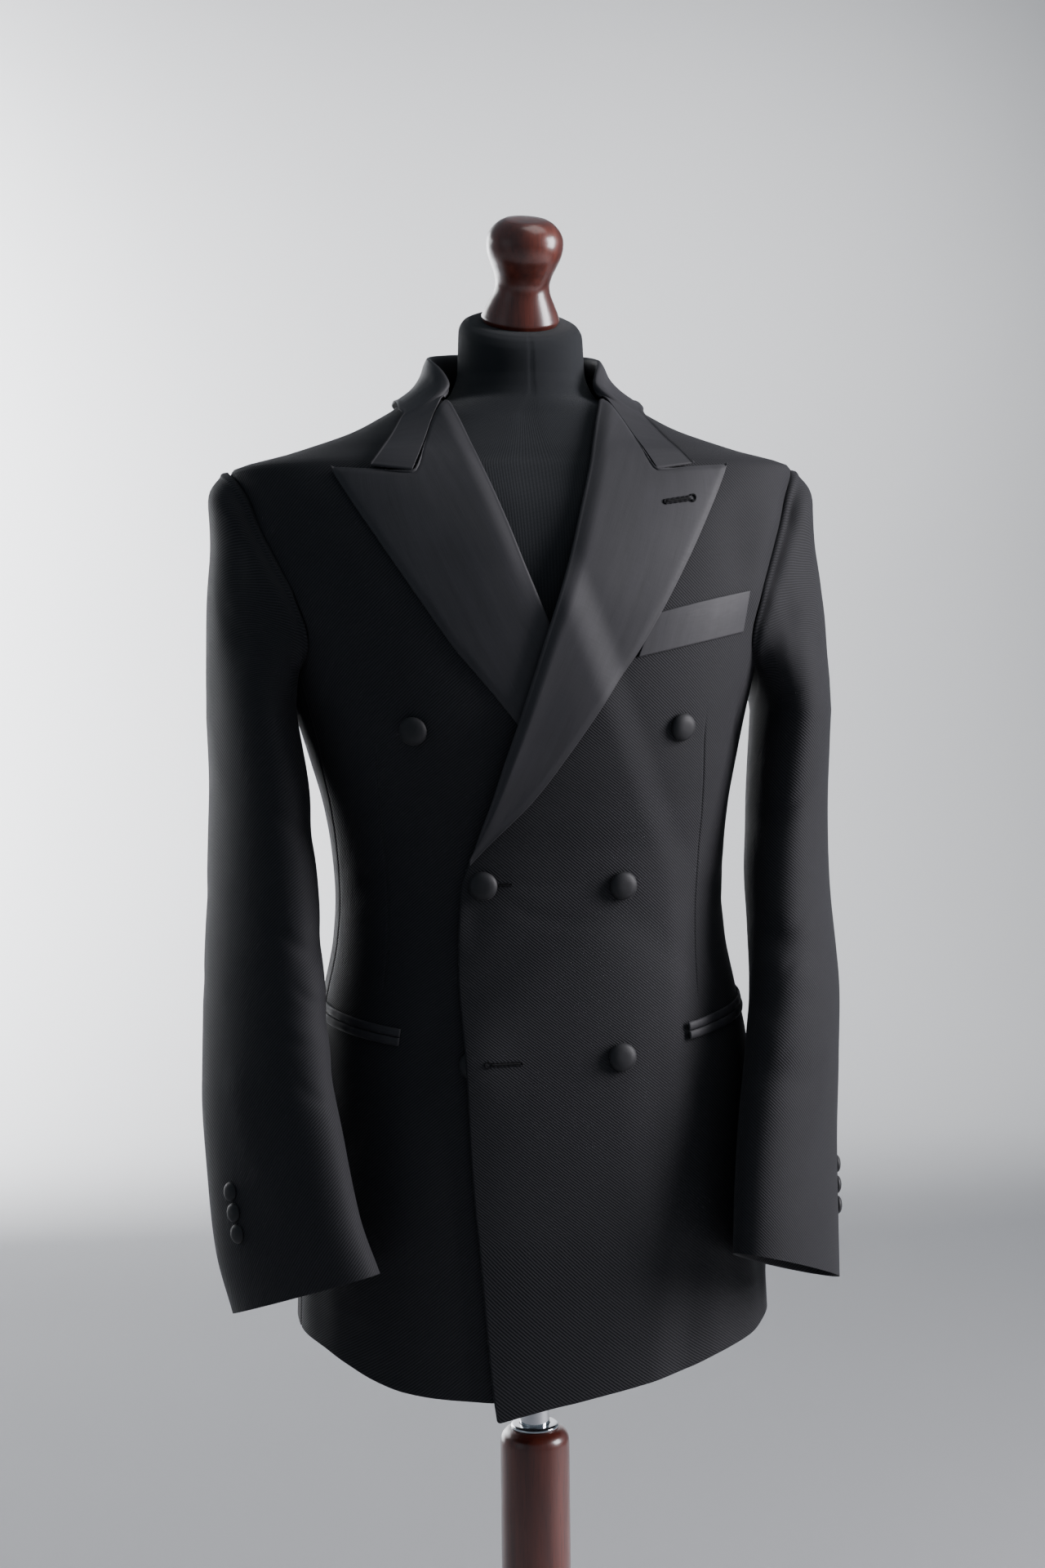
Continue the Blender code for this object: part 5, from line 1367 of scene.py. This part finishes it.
def build_form():
    count = 160
    turn = np.linspace(0.0, 360.0, count, endpoint=False)[None, :]
    seam = seam_drop(np.abs(turn_distance(turn, 0.0)) * 0.0008, 0.0007, 0.0010)
    seam = seam + seam_drop(np.abs(turn_distance(turn, 180.0)) * 0.0008, 0.0007, 0.0010)
    rings = []
    bore = POLE_RADIUS + RUNNING_GAP
    angle = np.radians(turn)
    for radius, height in ((0.0002, SOCKET_TOP), (bore, SOCKET_TOP), (bore, 0.860), (bore, FORM_BOTTOM),
                           (bore + 0.02, FORM_BOTTOM), (0.070, FORM_BOTTOM)):
        rings.append(stacked(radius * np.sin(angle), -radius * np.cos(angle), height)[0])
    for share in (0.0, 0.25, 0.5, 0.75, 0.92):
        height = FORM_BOTTOM + 0.006 * share ** 2.5
        inset = form_inset(height) + 0.006 * (1.0 - share ** 0.5)
        points = bare(turn, height) - torso_normal(turn, height) * inset
        points[..., 2] = height
        rings.append(points[0])
    body_heights = np.linspace(FORM_BOTTOM + 0.006, 1.40, 150)
    for height in np.concatenate((body_heights, np.linspace(1.4025, 1.4610, 28))):
        inset = form_inset(height) + seam
        points = bare(turn, height) - torso_normal(turn, height) * inset[..., None]
        rings.append(points[0])
    last = rings[-1]
    neck_start = 1.476
    first_neck = neck_points(turn, neck_start, neck_across(neck_start), neck_along(neck_start))[0]
    for share in (0.2, 0.4, 0.6, 0.8):
        rings.append(mix(last, first_neck, share))
    rim_height, rim_across, rim_along = NECK_TOP_RIM
    for height in np.concatenate((np.linspace(neck_start, 1.529, 24), np.linspace(1.530, rim_height, 14))):
        half_across = neck_across(height) - seam
        rings.append(neck_points(turn, height, half_across, neck_along(height) - seam)[0])
    for share in (0.75, 0.5, 0.25, 0.01):
        rings.append(neck_points(turn, rim_height, rim_across * share, rim_along * share)[0])
    points = np.array(rings)
    rows = len(points)
    quads = grid_quads(np.arange(rows * count).reshape(rows, count), closed=True)
    around = turn_distance(turn, 0.0) * 0.0024 + np.zeros((rows, count))
    flat = np.stack((around, points[..., 2]), axis=-1)
    thing = make_mesh("dress_form_jersey", points.reshape(-1, 3), quads, flat.reshape(-1, 2), JERSEY, 50.0)
    declare(thing, "bust", "form_torso")


build_form()


# Knob and stand
AXIS = 0.0001  # radius that a turned part's profile ends at, on its axis


def smooth_profile(profile, count):
    points = refine(np.array([(r, 0.0, h) for r, h in profile]), count, 0)
    return [(max(float(p[0]), AXIS), float(p[2])) for p in points]


def around_radius(radius, rows):
    """Profile points from (radius beyond the main one, height) rows."""
    return [(radius + beyond, height) for beyond, height in rows]


def build_stand():
    rim_height, rim_across, rim_along = NECK_TOP_RIM
    ring = neck_points(np.linspace(0.0, 345.0, 24), rim_height, rim_across, rim_along)
    centre = ring.mean(axis=0)
    seat = Matrix.Translation(Vector([float(x) for x in centre]) + Vector((0.0, 0.0, 0.0004)))
    seat = seat @ Matrix.Rotation(KNOB_TILT, 4, "X")
    profile = [(AXIS, 0.0), (0.015, 0.0)] + smooth_profile(KNOB_PROFILE, 7)
    profile += [(0.010, 0.0803), (AXIS, 0.0804)]
    lathe("knob_turned", profile, 72, MAHOGANY, "bust", "neck_knob", seat)
    bore = POLE_RADIUS + RUNNING_GAP
    pole = around_radius(POLE_RADIUS, (
        (-0.001, POLE_BOTTOM), (0.0, POLE_BOTTOM + 0.001), (0.0, 0.50), (0.0, 0.70), (0.0, 0.80),
        (0.0, SOCKET_TOP - 0.0015), (-0.001, SOCKET_TOP - SEAM_GAP)))
    pole = [(AXIS, POLE_BOTTOM)] + pole + [(AXIS, SOCKET_TOP - SEAM_GAP)]
    lathe("pole_chrome", pole, 48, CHROME, "pole", "pole")
    low = COLUMN_TOP + SEAM_GAP
    high = low + FLANGE_HEIGHT
    flange = around_radius(FLANGE_RADIUS, (
        (-0.0006, low), (0.0, low + 0.0006), (0.0, low + FLANGE_HEIGHT * 0.55),
        (-0.0005, low + FLANGE_HEIGHT * 0.78), (-0.0014, low + FLANGE_HEIGHT * 0.93), (-0.0026, high)))
    flange = [(bore, high), (bore, low)] + flange + [(bore, high)]
    lathe("flange_chrome", flange, 64, CHROME, "stand", "flange")
    foot = BASE_THICKNESS
    column = around_radius(COLUMN_RADIUS, (
        (-0.008, COLUMN_TOP), (-0.005, COLUMN_TOP - 0.0012), (-0.002, COLUMN_TOP - 0.004),
        (-0.0006, COLUMN_TOP - 0.007), (0.0, COLUMN_TOP - 0.011), (0.0, COLUMN_TOP - 0.10), (0.0, 0.35),
        (0.0, foot + 0.05), (0.0014, foot + 0.035), (0.004, foot + 0.02), (0.008, foot + 0.011),
        (0.012, foot + 0.006), (0.014, foot + SEAM_GAP)))
    socket = [(AXIS, COLUMN_BORE_BOTTOM), (bore, COLUMN_BORE_BOTTOM), (bore, 0.45), (bore, COLUMN_TOP)]
    column = socket + column + [(AXIS, foot + SEAM_GAP)]
    lathe("column_turned", column[::-1], 72, MAHOGANY, "stand", "column")
    base = around_radius(BASE_RADIUS, (
        (-0.003, 0.0), (-0.0009, 0.0009), (0.0, 0.003), (0.0, foot * 0.5), (-0.0012, foot * 0.66),
        (-0.004, foot * 0.8), (-0.0075, foot * 0.93), (-0.012, foot * 0.995), (-0.014, foot)))
    base = [(AXIS, 0.0)] + base + [(AXIS, foot)]
    lathe("base_turned", base, 128, MAHOGANY, "stand", "base")


build_stand()


# Studio
STUDIO_REACH = 8.0
COVE_START = 4.3
COVE_RADIUS = 1.8
WALL_TOP = 6.5


def build_studio():
    wall = make_plain("pale_studio", (0.42, 0.42, 0.43), 0.9)
    profile = [(-STUDIO_REACH, 0.0), (COVE_START, 0.0)]
    for k in range(1, 13):
        angle = k / 12.0 * pi / 2.0
        profile.append((COVE_START + COVE_RADIUS * sin(angle), COVE_RADIUS - COVE_RADIUS * cos(angle)))
    profile.append((COVE_START + COVE_RADIUS, WALL_TOP))
    profile = np.array(profile)
    across = np.linspace(-STUDIO_REACH, STUDIO_REACH, 5)
    points = stacked(across[None, :], profile[:, :1], profile[:, 1:] - 0.0005)
    rows = len(profile)
    index = np.arange(rows * 5).reshape(rows, 5)
    quads = grid_quads(index)
    flat = points[..., :2].reshape(-1, 2)
    stage = make_mesh("studio_floor", points.reshape(-1, 3), quads, flat, wall)
    world = bpy.data.worlds.new("studio")
    bpy.context.scene.world = world
    world.use_nodes = True
    background = world.node_tree.nodes["Background"]
    background.inputs["Color"].default_value = (0.72, 0.87, 1.0, 1.0)
    background.inputs["Strength"].default_value = 0.21


def area_light(name, place, target, size, power, colour):
    light = bpy.data.lights.new(name, "AREA")
    light.shape = "RECTANGLE"
    light.size = size[0]
    light.size_y = size[1]
    light.energy = power
    light.color = colour
    thing = bpy.data.objects.new(name, light)
    thing.location = place
    thing.rotation_euler = (Vector(target) - Vector(place)).to_track_quat("-Z", "Y").to_euler()
    thing.visible_camera = False
    bpy.context.scene.collection.objects.link(thing)


# Name, place, aim, size, power and colour
LIGHTS = (
    ("window", (3.0, -0.85, 2.2), (0.0, 0.0, 1.15), (1.3, 2.2), 185.0, (1.0, 0.975, 1.02)),
    ("left_fill", (-2.8, -1.4, 1.7), (0.0, 0.0, 1.1), (1.6, 2.2), 1.5, (0.85, 0.93, 1.0)),
    ("overhead", (0.6, -0.5, 3.3), (0.0, 0.0, 1.3), (1.2, 1.2), 8.0, (1.0, 1.0, 1.0)),
    ("back_fill", (-1.6, 3.4, 2.6), (0.0, 0.0, 1.2), (1.6, 1.6), 9.0, (0.92, 0.96, 1.0)),
    ("wall_left", (-2.6, 4.2, 2.2), (-2.6, 6.1, 1.5), (2.6, 2.6), 960.0, (0.98, 0.99, 1.0)),
    ("wall_right", (1.6, 4.2, 2.6), (1.4, 6.1, 1.8), (2.6, 2.6), 110.0, (0.98, 0.99, 1.0)),
    ("floor_left", (-2.3, 3.0, 2.6), (-1.5, 3.3, 0.0), (2.2, 2.2), 40.0, (0.98, 0.99, 1.0)),
)

build_studio()
for light in LIGHTS:
    area_light(*light)


# Camera, level at chest height and a little to the wearer's right
CAMERA_DISTANCE = 1.70
CAMERA_HEIGHT = 1.25
CAMERA_YAW = radians(10.0)
CAMERA_ROLL = -0.0112
CAMERA_SHIFT = (-0.00255, -0.0600)


def build_camera():
    camera = bpy.data.cameras.new("camera")
    camera.sensor_fit = "AUTO"
    camera.sensor_width = 36.0
    camera.lens = 50.0
    camera.clip_start = 0.05
    camera.shift_x, camera.shift_y = CAMERA_SHIFT
    thing = bpy.data.objects.new("camera", camera)
    place = (-CAMERA_DISTANCE * sin(CAMERA_YAW), -CAMERA_DISTANCE * cos(CAMERA_YAW), CAMERA_HEIGHT)
    aim = Matrix.Rotation(-CAMERA_YAW, 4, "Z") @ Matrix.Rotation(pi / 2.0, 4, "X")
    aim = aim @ Matrix.Rotation(CAMERA_ROLL, 4, "Z")
    thing.matrix_world = Matrix.Translation(place) @ aim
    bpy.context.scene.collection.objects.link(thing)
    bpy.context.scene.camera = thing


build_camera()
